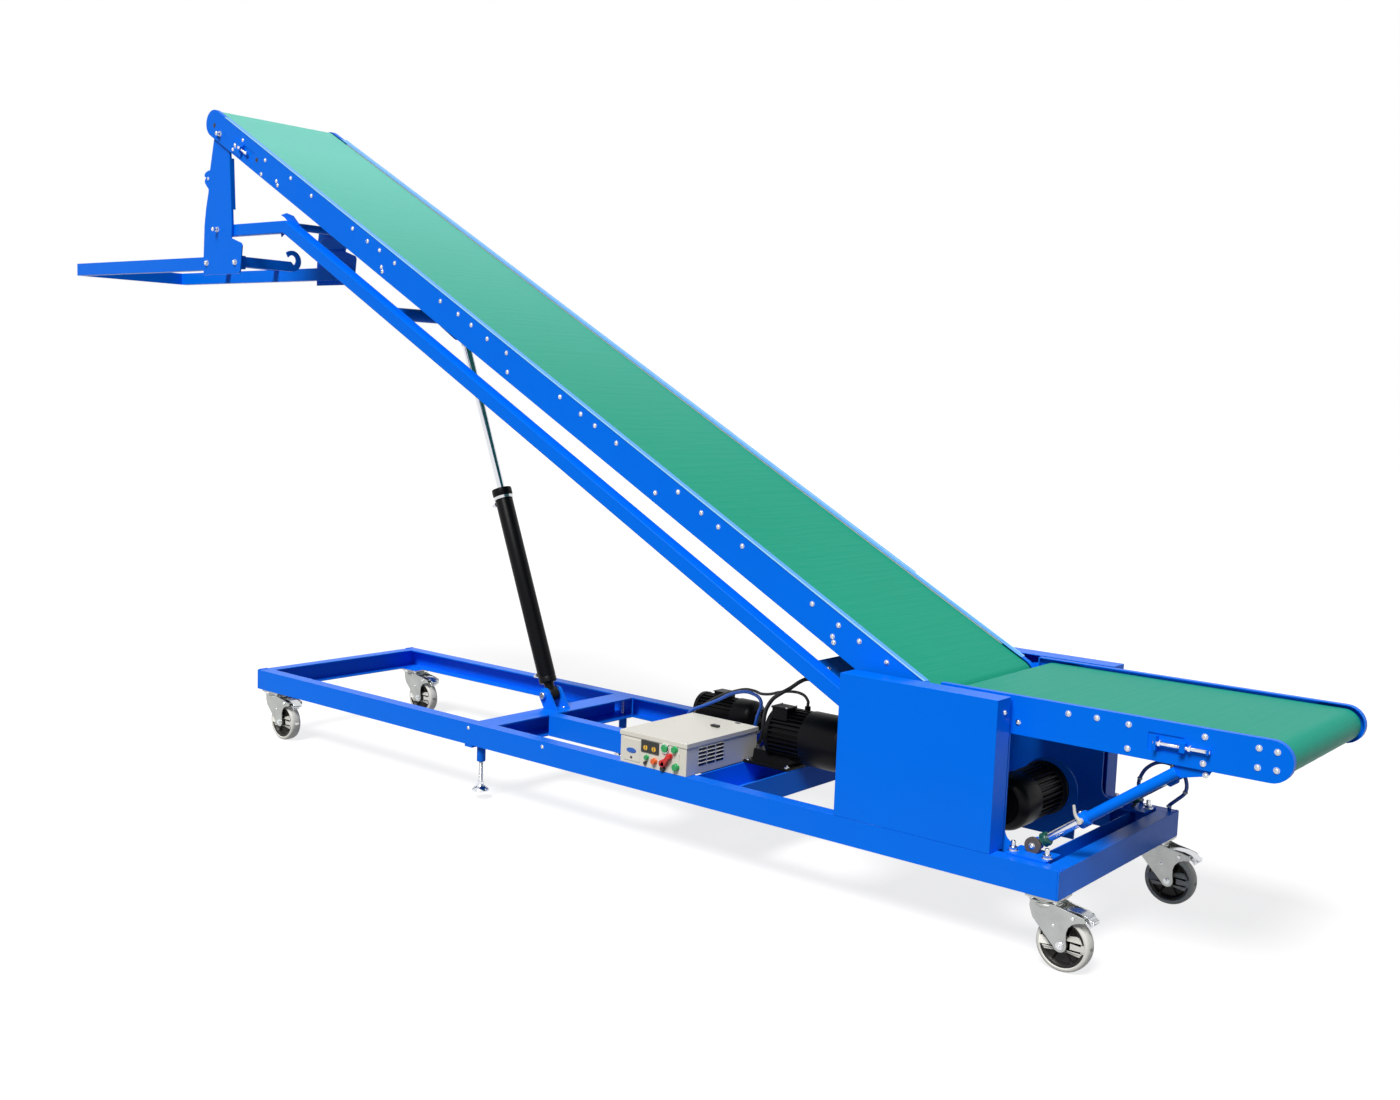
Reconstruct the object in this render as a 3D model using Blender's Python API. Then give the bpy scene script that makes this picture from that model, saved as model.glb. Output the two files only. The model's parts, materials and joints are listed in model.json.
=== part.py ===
# Portable belt conveyor on four swivel casters: a level infeed belt feeds a long inclined boom
# that a hydraulic cylinder raises and lowers. A link frame under the boom keeps the head carrier
# level, because boom and link frame form a parallelogram.
# Metres, +Z up, +X towards the infeed end, the near side is -Y. The origin is on the floor, below
# the middle of the whole machine.
from math import atan2, ceil, cos, degrees, pi, radians, sin

import bmesh
import bpy
from mathutils import Matrix, Vector

# Clearances
SEAT = 0.0003            # between pieces that touch
PIN_FIT = 0.0004         # radial play of a pivot pin in its hole
RUNNING = 0.006          # side gap between plates that turn past each other

# Base frame: two long channel rails joined by cross channels
BASE_LENGTH = 3.625
BASE_WIDTH = 0.830
FRAME_BOTTOM = 0.200     # underside of the rails above the floor
CHANNEL_HEIGHT = 0.080
RAIL_FLANGE = 0.050
CHANNEL_WALL = 0.005

# Cross channels: place of the left face along X, and width
FOOT_CHANNEL_X = -0.500  # carries the foot of the lift cylinder
FOOT_CHANNEL_WIDTH = 0.100
PUMP_CHANNEL_X = 0.180
PUMP_CHANNEL_WIDTH = 0.100
MOTOR_CHANNEL_X = 0.530
MOTOR_CHANNEL_WIDTH = 0.180
TOWER_CHANNEL_X = 1.345
TOWER_CHANNEL_WIDTH = 0.060
SUB_BEAM_Y = -0.105      # outer face of the lengthwise beam beside the control box
SUB_BEAM_FLANGE = 0.050

# Casters
WHEEL_DIAMETER = 0.155
WHEEL_WIDTH = 0.044
WHEEL_TRAIL = 0.055      # axle behind the swivel axis
CASTER_SIDE_INSET = 0.047
CASTER_INSET_INFEED = 0.048
CASTER_INSET_HEAD = 0.080
CASTER_PAD_LENGTH = 0.094
CASTER_PAD_WIDTH = 0.090
CASTER_PAD_THICKNESS = 0.006
KING_PIN_RADIUS = 0.008
AXLE_RADIUS = 0.006
FORK_PLATE = 0.004
FORK_SIDE_GAP = 0.0075   # between the tyre and a fork leg

# Levelling feet
FOOT_X = -0.465
FOOT_SIDE_INSET = 0.033
FOOT_LIFT = 0.030        # height of the foot disc above the floor when it is wound up
FOOT_SCREW_RADIUS = 0.008
FOOT_DISC_RADIUS = 0.032
FOOT_SLEEVE_LENGTH = 0.060

# Boom
BOOM_ANGLE = 28.1
BOOM_LENGTH = 4.100      # between the pulley centres
BOOM_SIDE_GAP = 0.105    # from the side of the base frame to the boom's side plate
BOOM_HALF_WIDTH = BASE_WIDTH / 2 - BOOM_SIDE_GAP
BOOM_DEPTH = 0.113
BOOM_PIVOT_X = 1.3084    # boom hinge, on the axis of its lower pulley
BOOM_PIVOT_Z = 0.6417
SIDE_WEB = 0.004
RIM_WIDTH = 0.019        # inward rim along the edge of a side plate
RIM_WALL = 0.003
BELT_THICKNESS = 0.004
BELT_EDGE_GAP = 0.005    # from the belt's edge to the rim
BELT_DROP = 0.0045       # belt surface below the edge of the side plates
SHAFT_RADIUS = 0.015
BED_WALL = 0.003
BED_SKIRT = 0.036

# Infeed bed
INFEED_LENGTH = 0.869    # between the pulley centres
INFEED_DEPTH = 0.108
INFEED_BELT_DROP = 0.0085  # belt surface below the edge of the infeed's side plates
INFEED_HALF_WIDTH = BOOM_HALF_WIDTH + 0.006
INFEED_X = 1.432         # centre of its inner pulley
INFEED_TOP_Z = 0.7084
INFEED_END_GAP = 0.007   # from the boom's round end to the infeed side plates
TAKE_UP_WINDOW = (0.094, 0.046)

# Head carrier, in world directions from its top pivot pin
HEAD_PIVOT = (-4.046, -0.0304)   # in the boom's own directions, from the boom hinge
LINK_OFFSET = (-0.025, -0.402)   # from the boom's pivot to the link's pivot, at both ends
HEAD_PLATE = 0.006
HEAD_TOP_RADIUS = 0.033
TRAY_REACH = 1.208
TRAY_RAIL_HEIGHT = 0.057
TRAY_RAIL_WIDTH = 0.030
TRAY_TOP_DROP = 0.510
HOOK_BAR = 0.008

# Link frame
LINK_BAR_WIDTH = 0.030
LINK_BAR_DEPTH = 0.050
LINK_LIP = 0.012
LINK_LIP_WALL = 0.005
LINK_GAP = 0.082         # from the boom's lower edge to the link's lip
CROSS_TUBE_RADIUS = 0.025
FOOT_PLATE_LOW = 0.110   # cross plate between the bars, as distances up the boom
FOOT_PLATE_HIGH = 0.390
FOOT_PLATE_WALL = 0.004

# Lift cylinder
CYLINDER_FOOT = (-0.495, 0.330)
CYLINDER_EYE = (-1.036, 1.700)
BARREL_RADIUS = 0.034
BARREL_LENGTH = 0.826
BORE_RADIUS = 0.028
ROD_RADIUS = 0.016
CYLINDER_PIN_RADIUS = 0.0125
LUG_PLATE = 0.010
EYE_RADIUS = 0.028

# Covers and tower plates
COVER_LEFT = 1.094
COVER_RIGHT = 1.6055
COVER_TOP = 0.707
COVER_DEPTH = 0.076
COVER_WALL = 0.003
TOWER_PLATE = 0.008
TOWER_FLARE = 0.034      # radius of the curve where a tower plate widens into its foot
PIVOT_PIN_RADIUS = 0.015

# Telescopic braces from the rails up to the infeed
BRACE_FOOT = (1.690, 0.305)      # centre of the lower end, x and z
BRACE_SIDE_INSET = 0.012         # from the infeed's side plate to the middle of a brace
BRACE_FOOT_INSET = 0.039         # from the side of the base frame to the foot plate's edge
BRACE_ANGLE = 36.4
BRACE_END_DROP = 0.0195          # from the infeed's underside to the middle of the tube's end
BRACE_ROD_REACH = 0.165
BRACE_ROD_RADIUS = 0.0135
BRACE_TUBE_RADIUS = 0.017
BRACE_OVERLAP = 0.060

# Cables and hoses: outer radii
POWER_CABLE_RADIUS = 0.007
LOOP_CABLE_RADIUS = 0.005
HOSE_RADIUS = 0.006
GLAND_LENGTH = 0.012
RAIL_HOSE_INSET = 0.022          # from the side of the base frame to the hose loop on the rail

# Derived levels and places
FRAME_TOP = FRAME_BOTTOM + CHANNEL_HEIGHT
HALF_WIDTH = BASE_WIDTH / 2
HALF_LENGTH = BASE_LENGTH / 2
FLANGE_EDGE = HALF_WIDTH - RAIL_FLANGE
WHEEL_RADIUS = WHEEL_DIAMETER / 2
CASTER_Y = HALF_WIDTH - CASTER_SIDE_INSET
FOOT_Y = HALF_WIDTH - FOOT_SIDE_INSET
BRACE_Y = INFEED_HALF_WIDTH - BRACE_SIDE_INSET
BRACE_RISE = INFEED_TOP_Z - INFEED_DEPTH - BRACE_END_DROP - BRACE_FOOT[1]
BRACE_REACH = BRACE_RISE / sin(radians(BRACE_ANGLE))
CASTER_TOP = FRAME_BOTTOM - CASTER_PAD_THICKNESS
TOWER_INNER = INFEED_HALF_WIDTH + SEAT
INFEED_Z = INFEED_TOP_Z - INFEED_DEPTH / 2
HEAD_PLATE_OUTER = BOOM_HALF_WIDTH - SIDE_WEB - RUNNING
HEAD_PLATE_INNER = HEAD_PLATE_OUTER - HEAD_PLATE
LINK_OUTER = HEAD_PLATE_INNER - RUNNING
LINK_INNER = LINK_OUTER - LINK_BAR_WIDTH

UP_BOOM = Vector((-cos(radians(BOOM_ANGLE)), 0, sin(radians(BOOM_ANGLE))))
OFF_BOOM = Vector((sin(radians(BOOM_ANGLE)), 0, cos(radians(BOOM_ANGLE))))
BOOM_PIVOT = Vector((BOOM_PIVOT_X, 0, BOOM_PIVOT_Z))
HEAD_PIN = BOOM_PIVOT - UP_BOOM * HEAD_PIVOT[0] + OFF_BOOM * HEAD_PIVOT[1]
LINK_OFFSET_3D = Vector((LINK_OFFSET[0], 0, LINK_OFFSET[1]))
LINK_PIVOT = BOOM_PIVOT + LINK_OFFSET_3D
TRAY_TIP = HEAD_PIN.x - TRAY_REACH
INFEED_TIP = INFEED_X + INFEED_LENGTH + INFEED_DEPTH / 2
ORIGIN_X = -(TRAY_TIP + INFEED_TIP) / 2


def start_empty_scene():
    for item in list(bpy.data.objects):
        bpy.data.objects.remove(item, do_unlink=True)


def material(name, colour, roughness, metallic=0.0):
    shade = bpy.data.materials.new(name)
    shade.use_nodes = True
    surface = shade.node_tree.nodes["Principled BSDF"]
    surface.inputs["Base Color"].default_value = (*colour, 1.0)
    surface.inputs["Roughness"].default_value = roughness
    surface.inputs["Metallic"].default_value = metallic
    return shade


def empty(name, place, turn=0.0, parent=None):
    """A reference frame at a place in its parent's frame, turned about Y by some degrees."""
    frame = bpy.data.objects.new(name, None)
    bpy.context.collection.objects.link(frame)
    frame.location = place
    frame.rotation_euler = (0, radians(turn), 0)
    frame.parent = parent
    return frame


# Shapes, each a bmesh of one closed body

def arc(centre, radius, first, last, steps):
    """Points on an arc in a flat outline, from one angle to another in degrees."""
    angles = [radians(first + (last - first) * step / steps) for step in range(steps + 1)]
    return [(centre[0] + radius * cos(a), centre[1] + radius * sin(a)) for a in angles]


PLANES = {
    "XZ": lambda u, v, w: (u, w, v),
    "YZ": lambda u, v, w: (w, u, v),
    "XY": lambda u, v, w: (u, v, w),
}


def slab(outline, low, high, plane="XZ", holes=()):
    """A flat outline, with holes, pushed from low to high across its plane."""
    place = PLANES[plane]
    body = bmesh.new()
    for loop in (outline, *holes):
        corners = [body.verts.new(place(u, v, low)) for u, v in loop]
        for start, end in zip(corners, corners[1:] + corners[:1]):
            body.edges.new((start, end))
    if holes:
        bmesh.ops.triangle_fill(body, use_beauty=True, edges=body.edges[:])
    else:
        body.faces.new(body.verts[:])
    grown = bmesh.ops.extrude_face_region(body, geom=body.faces[:])
    moved = [item for item in grown["geom"] if isinstance(item, bmesh.types.BMVert)]
    step = Vector(place(0, 0, high)) - Vector(place(0, 0, low))
    bmesh.ops.translate(body, vec=step, verts=moved)
    bmesh.ops.recalc_face_normals(body, faces=body.faces[:])
    return body


def block(low, high):
    """A box between two corners."""
    outline = [(low[0], low[1]), (high[0], low[1]), (high[0], high[1]), (low[0], high[1])]
    return slab(outline, low[2], high[2], "XY")


def turned(profile, steps=32):
    """A profile of (radius, height) points turned about Z, open or closed at the axis."""
    body = bmesh.new()
    points = [body.verts.new((radius, 0, height)) for radius, height in profile]
    for start, end in zip(points, points[1:]):
        body.edges.new((start, end))
    if profile[0][0] > 0:
        body.edges.new((points[-1], points[0]))
    bmesh.ops.spin(body, geom=body.verts[:] + body.edges[:], axis=(0, 0, 1), cent=(0, 0, 0),
                   angle=2 * pi, steps=steps, use_duplicate=False)
    bmesh.ops.remove_doubles(body, verts=body.verts[:], dist=0.00001)
    bmesh.ops.recalc_face_normals(body, faces=body.faces[:])
    return body


def rod_between(start, end, radius, steps=16):
    """A round bar from one point to another."""
    line = Vector(end) - Vector(start)
    body = turned([(0, 0), (radius, 0), (radius, line.length), (0, line.length)], steps)
    turn = line.to_track_quat("Z", "Y").to_matrix().to_4x4()
    bmesh.ops.transform(body, matrix=Matrix.Translation(start) @ turn, verts=body.verts[:])
    return body


def across(place, radius, low, high, steps=16):
    """A round bar along Y at a place (x, z)."""
    return rod_between((place[0], low, place[1]), (place[0], high, place[1]), radius, steps)


def channel_outline(height, flange, wall):
    """A C section: its web on the left at 0, its flanges to the right."""
    return [(0, 0), (flange, 0), (flange, wall), (wall, wall), (wall, height - wall),
            (flange, height - wall), (flange, height), (0, height)]


def inset(outline, distance):
    """The outline moved inwards, corner by corner, for an outline that runs anticlockwise."""
    result = []
    count = len(outline)
    for index in range(count):
        before = Vector(outline[index - 1])
        here = Vector(outline[index])
        after = Vector(outline[(index + 1) % count])
        arriving = (here - before).normalized()
        leaving = (after - here).normalized()
        normal = Vector((-arriving.y - leaving.y, arriving.x + leaving.x)).normalized()
        spread = normal.dot(Vector((-arriving.y, arriving.x)))
        result.append(tuple(here + normal * (distance / spread)))
    return result


def pan(outline, outer, rim_edge, web, wall, side):
    """A plate in XZ whose edge is folded inwards all round: web outside, rim towards the middle."""
    body = bmesh.new()
    inner = inset(outline, wall)
    rings = []
    for loop, level in ((outline, outer), (outline, rim_edge), (inner, rim_edge),
                        (inner, outer - web)):
        rings.append([body.verts.new((x, side * level, z)) for x, z in loop])
    body.faces.new(rings[0])
    body.faces.new(rings[3])
    count = len(outline)
    for first, second in zip(rings, rings[1:]):
        for index in range(count):
            after = (index + 1) % count
            body.faces.new((first[index], first[after], second[after], second[index]))
    bmesh.ops.recalc_face_normals(body, faces=body.faces[:])
    return body


def solid(name, body, shade, parent, add=(), cut=(), smooth=35):
    """A named object from a bmesh. Other shapes are joined to it or cut from it."""
    shapes = [(body, None)] + [(extra, "UNION") for extra in add]
    shapes += [(cutter, "DIFFERENCE") for cutter in cut]
    built = None
    for shape, operation in shapes:
        mesh = bpy.data.meshes.new(name)
        shape.to_mesh(mesh)
        shape.free()
        item = bpy.data.objects.new(name, mesh)
        bpy.context.collection.objects.link(item)
        if operation is None:
            built = item
            continue
        step = built.modifiers.new(operation.lower(), "BOOLEAN")
        step.operation = operation
        step.solver = "EXACT"
        step.object = item
        evaluated = built.evaluated_get(bpy.context.evaluated_depsgraph_get())
        joined = bpy.data.meshes.new_from_object(evaluated)
        built.modifiers.clear()
        built.data = joined
        bpy.data.objects.remove(item, do_unlink=True)
    built.name = name
    built.data.name = name
    built.data.materials.clear()
    built.data.materials.append(shade)
    built.data.shade_smooth()
    built.data.set_sharp_from_angle(angle=radians(smooth))
    built.parent = parent
    return built


start_empty_scene()
BLUE = material("blue_paint", (0.0, 0.16, 0.80), 0.35)
BELT_GREEN = material("green_belt", (0.05, 0.36, 0.26), 0.6)
STEEL = material("bright_steel", (0.62, 0.63, 0.65), 0.3, 1.0)
ZINC = material("zinc_plate", (0.60, 0.62, 0.64), 0.4, 1.0)
TYRE = material("pale_tyre", (0.72, 0.73, 0.72), 0.6)
BLACK = material("black_casting", (0.015, 0.015, 0.017), 0.45)
RUBBER = material("black_cable", (0.01, 0.01, 0.01), 0.5)
BLUE_HOSE = material("blue_hose", (0.01, 0.10, 0.45), 0.45)
CREAM = material("cream_enamel", (0.74, 0.72, 0.62), 0.45)

machine = empty("machine", (ORIGIN_X, 0, 0))


# Rails, with the caster pads and king pins under their ends
def caster_places():
    """Swivel axes as (name, x, y)."""
    rows = []
    for end, x in (("infeed", HALF_LENGTH - CASTER_INSET_INFEED),
                   ("head", -HALF_LENGTH + CASTER_INSET_HEAD)):
        for side_name, side in (("near", -1), ("far", 1)):
            rows.append((f"{end}_{side_name}", x, side * CASTER_Y))
    return rows


def make_rail(name, side):
    outline = [(side * (HALF_WIDTH - u), FRAME_BOTTOM + v)
               for u, v in channel_outline(CHANNEL_HEIGHT, RAIL_FLANGE, CHANNEL_WALL)]
    reach = HALF_LENGTH - CHANNEL_WALL - SEAT
    pads = []
    for _, x, y in caster_places():
        if y * side > 0:
            half = (CASTER_PAD_LENGTH / 2, CASTER_PAD_WIDTH / 2)
            outward = min(abs(y) + half[1], HALF_WIDTH)
            pads.append(block((x - half[0], min(side * (abs(y) - half[1]), side * outward),
                               CASTER_TOP),
                              (min(x + half[0], reach), max(side * (abs(y) - half[1]),
                                                           side * outward), FRAME_BOTTOM)))
            pads.append(rod_between((x, y, FRAME_BOTTOM), (x, y, CASTER_TOP - 0.018),
                                    KING_PIN_RADIUS, 16))
    sleeve_top = FRAME_BOTTOM + CHANNEL_WALL / 2
    foot_hole = rod_between((FOOT_X, side * FOOT_Y, FRAME_BOTTOM - 0.1),
                            (FOOT_X, side * FOOT_Y, FRAME_TOP - 2 * CHANNEL_WALL),
                            FOOT_SCREW_RADIUS + PIN_FIT, 16)
    sleeve = rod_between((FOOT_X, side * FOOT_Y, FRAME_BOTTOM - FOOT_SLEEVE_LENGTH),
                         (FOOT_X, side * FOOT_Y, sleeve_top), FOOT_SCREW_RADIUS + 0.007, 20)
    solid(name, slab(outline, -reach, reach, "YZ"), BLUE, machine, add=[*pads, sleeve],
          cut=[foot_hole])


make_rail("rail_near", -1)
make_rail("rail_far", 1)


# End channels: a full-width web across the rail ends, flanges between the rails
def make_end_channel(name, end):
    web_x = sorted((end * (HALF_LENGTH - CHANNEL_WALL), end * HALF_LENGTH))
    flange_x = sorted((end * (HALF_LENGTH - RAIL_FLANGE), end * (HALF_LENGTH - CHANNEL_WALL / 2)))
    reach = FLANGE_EDGE - SEAT
    flanges = []
    for low in (FRAME_BOTTOM, FRAME_TOP - CHANNEL_WALL):
        flanges.append(block((flange_x[0], -reach, low), (flange_x[1], reach, low + CHANNEL_WALL)))
    solid(name, block((web_x[0], -HALF_WIDTH, FRAME_BOTTOM), (web_x[1], HALF_WIDTH, FRAME_TOP)),
          BLUE, machine, add=flanges)


make_end_channel("end_channel_infeed", 1)
make_end_channel("end_channel_head", -1)


# Cross channels between the rail flanges
def cross_section(left, width, turn):
    """Outline in XZ of a cross channel: 'side' has its web on the left, 'up' opens upwards."""
    if turn == "side":
        return [(left + u, FRAME_BOTTOM + v)
                for u, v in channel_outline(CHANNEL_HEIGHT, width, CHANNEL_WALL)]
    return [(left + v, FRAME_BOTTOM + u)
            for u, v in channel_outline(width, CHANNEL_HEIGHT, CHANNEL_WALL)]


REACH = FLANGE_EDGE - SEAT
SUB_BEAM_FAR = SUB_BEAM_Y + SUB_BEAM_FLANGE

lug_outline = [(FOOT_CHANNEL_X + 0.004, FRAME_TOP - 0.001), (FOOT_CHANNEL_X + 0.072, FRAME_TOP - 0.001)]
lug_outline += arc(CYLINDER_FOOT, EYE_RADIUS, 20, 215, 12)
eye_half = BARREL_RADIUS - 0.0065
lugs = []
for side in (-1, 1):
    faces = sorted((side * (eye_half + 0.0005), side * (eye_half + 0.0005 + LUG_PLATE)))
    lugs.append(slab(lug_outline, faces[0], faces[1]))
lugs.append(across(CYLINDER_FOOT, CYLINDER_PIN_RADIUS, -eye_half - LUG_PLATE - 0.006,
                   eye_half + LUG_PLATE + 0.006))
solid("cross_channel_cylinder",
      slab(cross_section(FOOT_CHANNEL_X, FOOT_CHANNEL_WIDTH, "side"), -REACH, REACH),
      BLUE, machine, add=lugs)
solid("cross_channel_pump",
      slab(cross_section(PUMP_CHANNEL_X, PUMP_CHANNEL_WIDTH, "side"), SUB_BEAM_FAR + SEAT, REACH),
      BLUE, machine)
solid("cross_channel_motor",
      slab(cross_section(MOTOR_CHANNEL_X, MOTOR_CHANNEL_WIDTH, "up"), -REACH, REACH),
      BLUE, machine)
sub_beam_outline = [(SUB_BEAM_Y + u, FRAME_BOTTOM + v)
                    for u, v in channel_outline(CHANNEL_HEIGHT, SUB_BEAM_FLANGE, CHANNEL_WALL)]
solid("sub_beam", slab(sub_beam_outline, FOOT_CHANNEL_X + FOOT_CHANNEL_WIDTH + SEAT,
                       MOTOR_CHANNEL_X - SEAT, "YZ"), BLUE, machine)


# Casters: a swivel fork that trails and a wheel
FORK_TOP = CASTER_TOP - 0.001
CROWN_TOP = WHEEL_DIAMETER + 0.017
CROWN_BOTTOM = WHEEL_DIAMETER + 0.008
LEG_INNER = WHEEL_WIDTH / 2 + FORK_SIDE_GAP


def make_caster(name, x, y):
    fork_frame = empty(f"swivel_{name}", (x, y, 0), parent=machine)
    race = rod_between((0, 0, CROWN_BOTTOM + 0.002), (0, 0, FORK_TOP), 0.036, 16)
    crown = slab([(-0.036, -0.026), (-0.026, -0.036), (0.050, -0.036), (0.060, -0.018),
                  (0.115, -0.018), (0.121, -0.012), (0.121, 0.012), (0.115, 0.018),
                  (0.060, 0.018), (0.050, 0.036), (-0.026, 0.036), (-0.036, 0.026)],
                 CROWN_BOTTOM, CROWN_TOP, "XY")
    leg = [(-0.030, CROWN_TOP - 0.001), (-0.024, 0.125)]
    leg += arc((WHEEL_TRAIL, WHEEL_RADIUS), 0.019, 205, 365, 6)
    leg += [(0.062, 0.125), (0.050, CROWN_TOP - 0.001)]
    legs = [slab(leg, *sorted((side * LEG_INNER, side * (LEG_INNER + FORK_PLATE))))
            for side in (-1, 1)]
    axle = across((WHEEL_TRAIL, WHEEL_RADIUS), AXLE_RADIUS, -LEG_INNER - FORK_PLATE - 0.005,
                  LEG_INNER + FORK_PLATE + 0.005, 16)
    hole = rod_between((0, 0, CROWN_BOTTOM - 0.01), (0, 0, FORK_TOP + 0.01),
                       KING_PIN_RADIUS + PIN_FIT, 16)
    solid(f"caster_fork_{name}", crown, ZINC, fork_frame, add=[race, *legs, axle], cut=[hole])

    wheel_frame = empty(f"axle_{name}", (WHEEL_TRAIL, 0, WHEEL_RADIUS), parent=fork_frame)
    half = WHEEL_WIDTH / 2
    bore = AXLE_RADIUS + PIN_FIT
    boss = half + FORK_SIDE_GAP - 0.003
    profile = [(bore, -boss), (0.016, -boss), (0.019, -half + 0.006), (0.048, -half + 0.006),
               (0.052, -half), (WHEEL_RADIUS - 0.008, -half), (WHEEL_RADIUS, -half + 0.008)]
    profile += [(radius, -height) for radius, height in reversed(profile)]
    wheel = turned(profile, 24)
    bmesh.ops.rotate(wheel, matrix=Matrix.Rotation(pi / 2, 3, "X"), verts=wheel.verts[:])
    solid(f"caster_wheel_{name}", wheel, TYRE, wheel_frame)


for caster in caster_places():
    make_caster(*caster)


# Levelling feet, wound up for travel
def make_levelling_foot(name, side):
    top = FRAME_TOP - CHANNEL_WALL - 0.006 - FOOT_LIFT
    profile = [(0, 0), (FOOT_DISC_RADIUS, 0), (FOOT_DISC_RADIUS, 0.006), (0.026, 0.012),
               (0.013, 0.022), (FOOT_SCREW_RADIUS, 0.026), (FOOT_SCREW_RADIUS, top), (0, top)]
    frame = empty(f"screw_{name}", (FOOT_X, side * FOOT_Y, FOOT_LIFT), parent=machine)
    solid(f"levelling_foot_{name}", turned(profile, 24), STEEL, frame)


make_levelling_foot("near", -1)
make_levelling_foot("far", 1)


# Tower plates inside the covers: they carry the boom hinge, the link hinge and the infeed
def make_tower(name, side):
    faces = sorted((side * TOWER_INNER, side * (TOWER_INNER + TOWER_PLATE)))
    low = FRAME_BOTTOM + CHANNEL_WALL
    left = LINK_PIVOT.x - 0.075
    right = COVER_RIGHT - 2 * COVER_WALL
    flare = right + TOWER_FLARE
    outline = [(left, low), (flare, low)]
    outline += arc((flare, FRAME_TOP + 0.016 + TOWER_FLARE), TOWER_FLARE, 270, 180, 6)
    outline += [(right, INFEED_TOP_Z - 0.012), (1.42, INFEED_TOP_Z - 0.012)]
    outline += arc((BOOM_PIVOT.x, BOOM_PIVOT.z), 0.046, 60, 190, 12)
    outline += [(left, 0.470)]
    spacer_y = sorted((side * (TOWER_INNER + TOWER_PLATE / 2), side * (FLANGE_EDGE - SEAT)))
    spacer = block((left + 0.02, spacer_y[0], FRAME_BOTTOM + 0.006),
                   (right - 0.02, spacer_y[1], FRAME_TOP))
    pins = []
    for pivot, reach in ((BOOM_PIVOT, BOOM_HALF_WIDTH - SIDE_WEB - 0.002),
                         (LINK_PIVOT, LINK_INNER + 0.006)):
        span = sorted((side * reach, side * (TOWER_INNER + TOWER_PLATE / 2)))
        pins.append(across((pivot.x, pivot.z), PIVOT_PIN_RADIUS, *span))
    collar = sorted((side * (BOOM_HALF_WIDTH + SEAT), side * (TOWER_INNER + TOWER_PLATE / 2)))
    pins.append(across((BOOM_PIVOT.x, BOOM_PIVOT.z), 0.026, *collar))
    collar = sorted((side * (LINK_OUTER + SEAT), side * (TOWER_INNER + TOWER_PLATE / 2)))
    pins.append(across((LINK_PIVOT.x, LINK_PIVOT.z), 0.026, *collar))
    solid(name, slab(outline, *faces), BLUE, machine, add=[spacer, *pins])


make_tower("tower_near", -1)
make_tower("tower_far", 1)

# Infeed drive motor's bracket stands on the channel between the towers
INFEED_MOTOR = (1.515, 0.345)
INFEED_MOTOR_RADIUS = 0.088
INFEED_MOTOR_FACE = 0.120
BRACKET_PLATE = 0.008
bracket = slab([(TOWER_CHANNEL_X + 0.02, FRAME_BOTTOM + CHANNEL_WALL),
                (INFEED_MOTOR[0] + 0.09, FRAME_BOTTOM + CHANNEL_WALL)]
               + arc(INFEED_MOTOR, 0.095, 0, 180, 12)
               + [(TOWER_CHANNEL_X + 0.02, FRAME_TOP + 0.02)],
               INFEED_MOTOR_FACE + SEAT, INFEED_MOTOR_FACE + SEAT + BRACKET_PLATE)
solid("cross_channel_tower",
      slab(cross_section(TOWER_CHANNEL_X, TOWER_CHANNEL_WIDTH, "side"),
           -TOWER_INNER + SEAT, TOWER_INNER - SEAT), BLUE, machine, add=[bracket])


# Covers: folded sheet boxes on the rails, open towards the machine
def make_cover(name, side):
    low = (COVER_LEFT, -HALF_WIDTH, FRAME_TOP + SEAT)
    high = (COVER_RIGHT, -HALF_WIDTH + COVER_DEPTH, COVER_TOP)
    hollow = block((low[0] + COVER_WALL, low[1] + COVER_WALL, low[2] - 0.01),
                   (high[0] - COVER_WALL, high[1] + 0.01, high[2] - COVER_WALL))
    shell = block(low, high)
    if side > 0:
        for shape in (shell, hollow):
            bmesh.ops.scale(shape, vec=(1, -1, 1), verts=shape.verts[:])
            bmesh.ops.reverse_faces(shape, faces=shape.faces[:])
    solid(name, shell, BLUE, machine, cut=[hollow])


make_cover("cover_near", -1)
make_cover("cover_far", 1)

# Control box with an overlapping lid, on the near rail and the sub beam
BOX_LEFT = 0.242
BOX_RIGHT = 0.525
BOX_FRONT = -HALF_WIDTH + 0.003
BOX_BACK = SUB_BEAM_FAR + 0.015
BOX_TOP = 0.388
LID_OVERHANG = 0.003
LID_DEPTH = 0.016
lid = block((BOX_LEFT - LID_OVERHANG, BOX_FRONT - 0.0025, BOX_TOP - LID_DEPTH),
            (BOX_RIGHT + LID_OVERHANG, BOX_BACK + LID_OVERHANG, BOX_TOP))
POWER_GLAND = (0.508, 0.318)     # cable outlets in the back of the box, x and z
HOSE_GLAND = (0.470, 0.318)
LOOP_GLAND = (0.262, 0.318)
glands = [across(place, radius + 0.004, BOX_BACK - 0.002, BOX_BACK + GLAND_LENGTH, 16)
          for place, radius in ((POWER_GLAND, POWER_CABLE_RADIUS), (HOSE_GLAND, HOSE_RADIUS),
                                (LOOP_GLAND, LOOP_CABLE_RADIUS))]
solid("control_box", block((BOX_LEFT, BOX_FRONT, FRAME_TOP + SEAT),
                           (BOX_RIGHT, BOX_BACK, BOX_TOP - LID_DEPTH / 2)),
      CREAM, machine, add=[lid, *glands])


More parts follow.
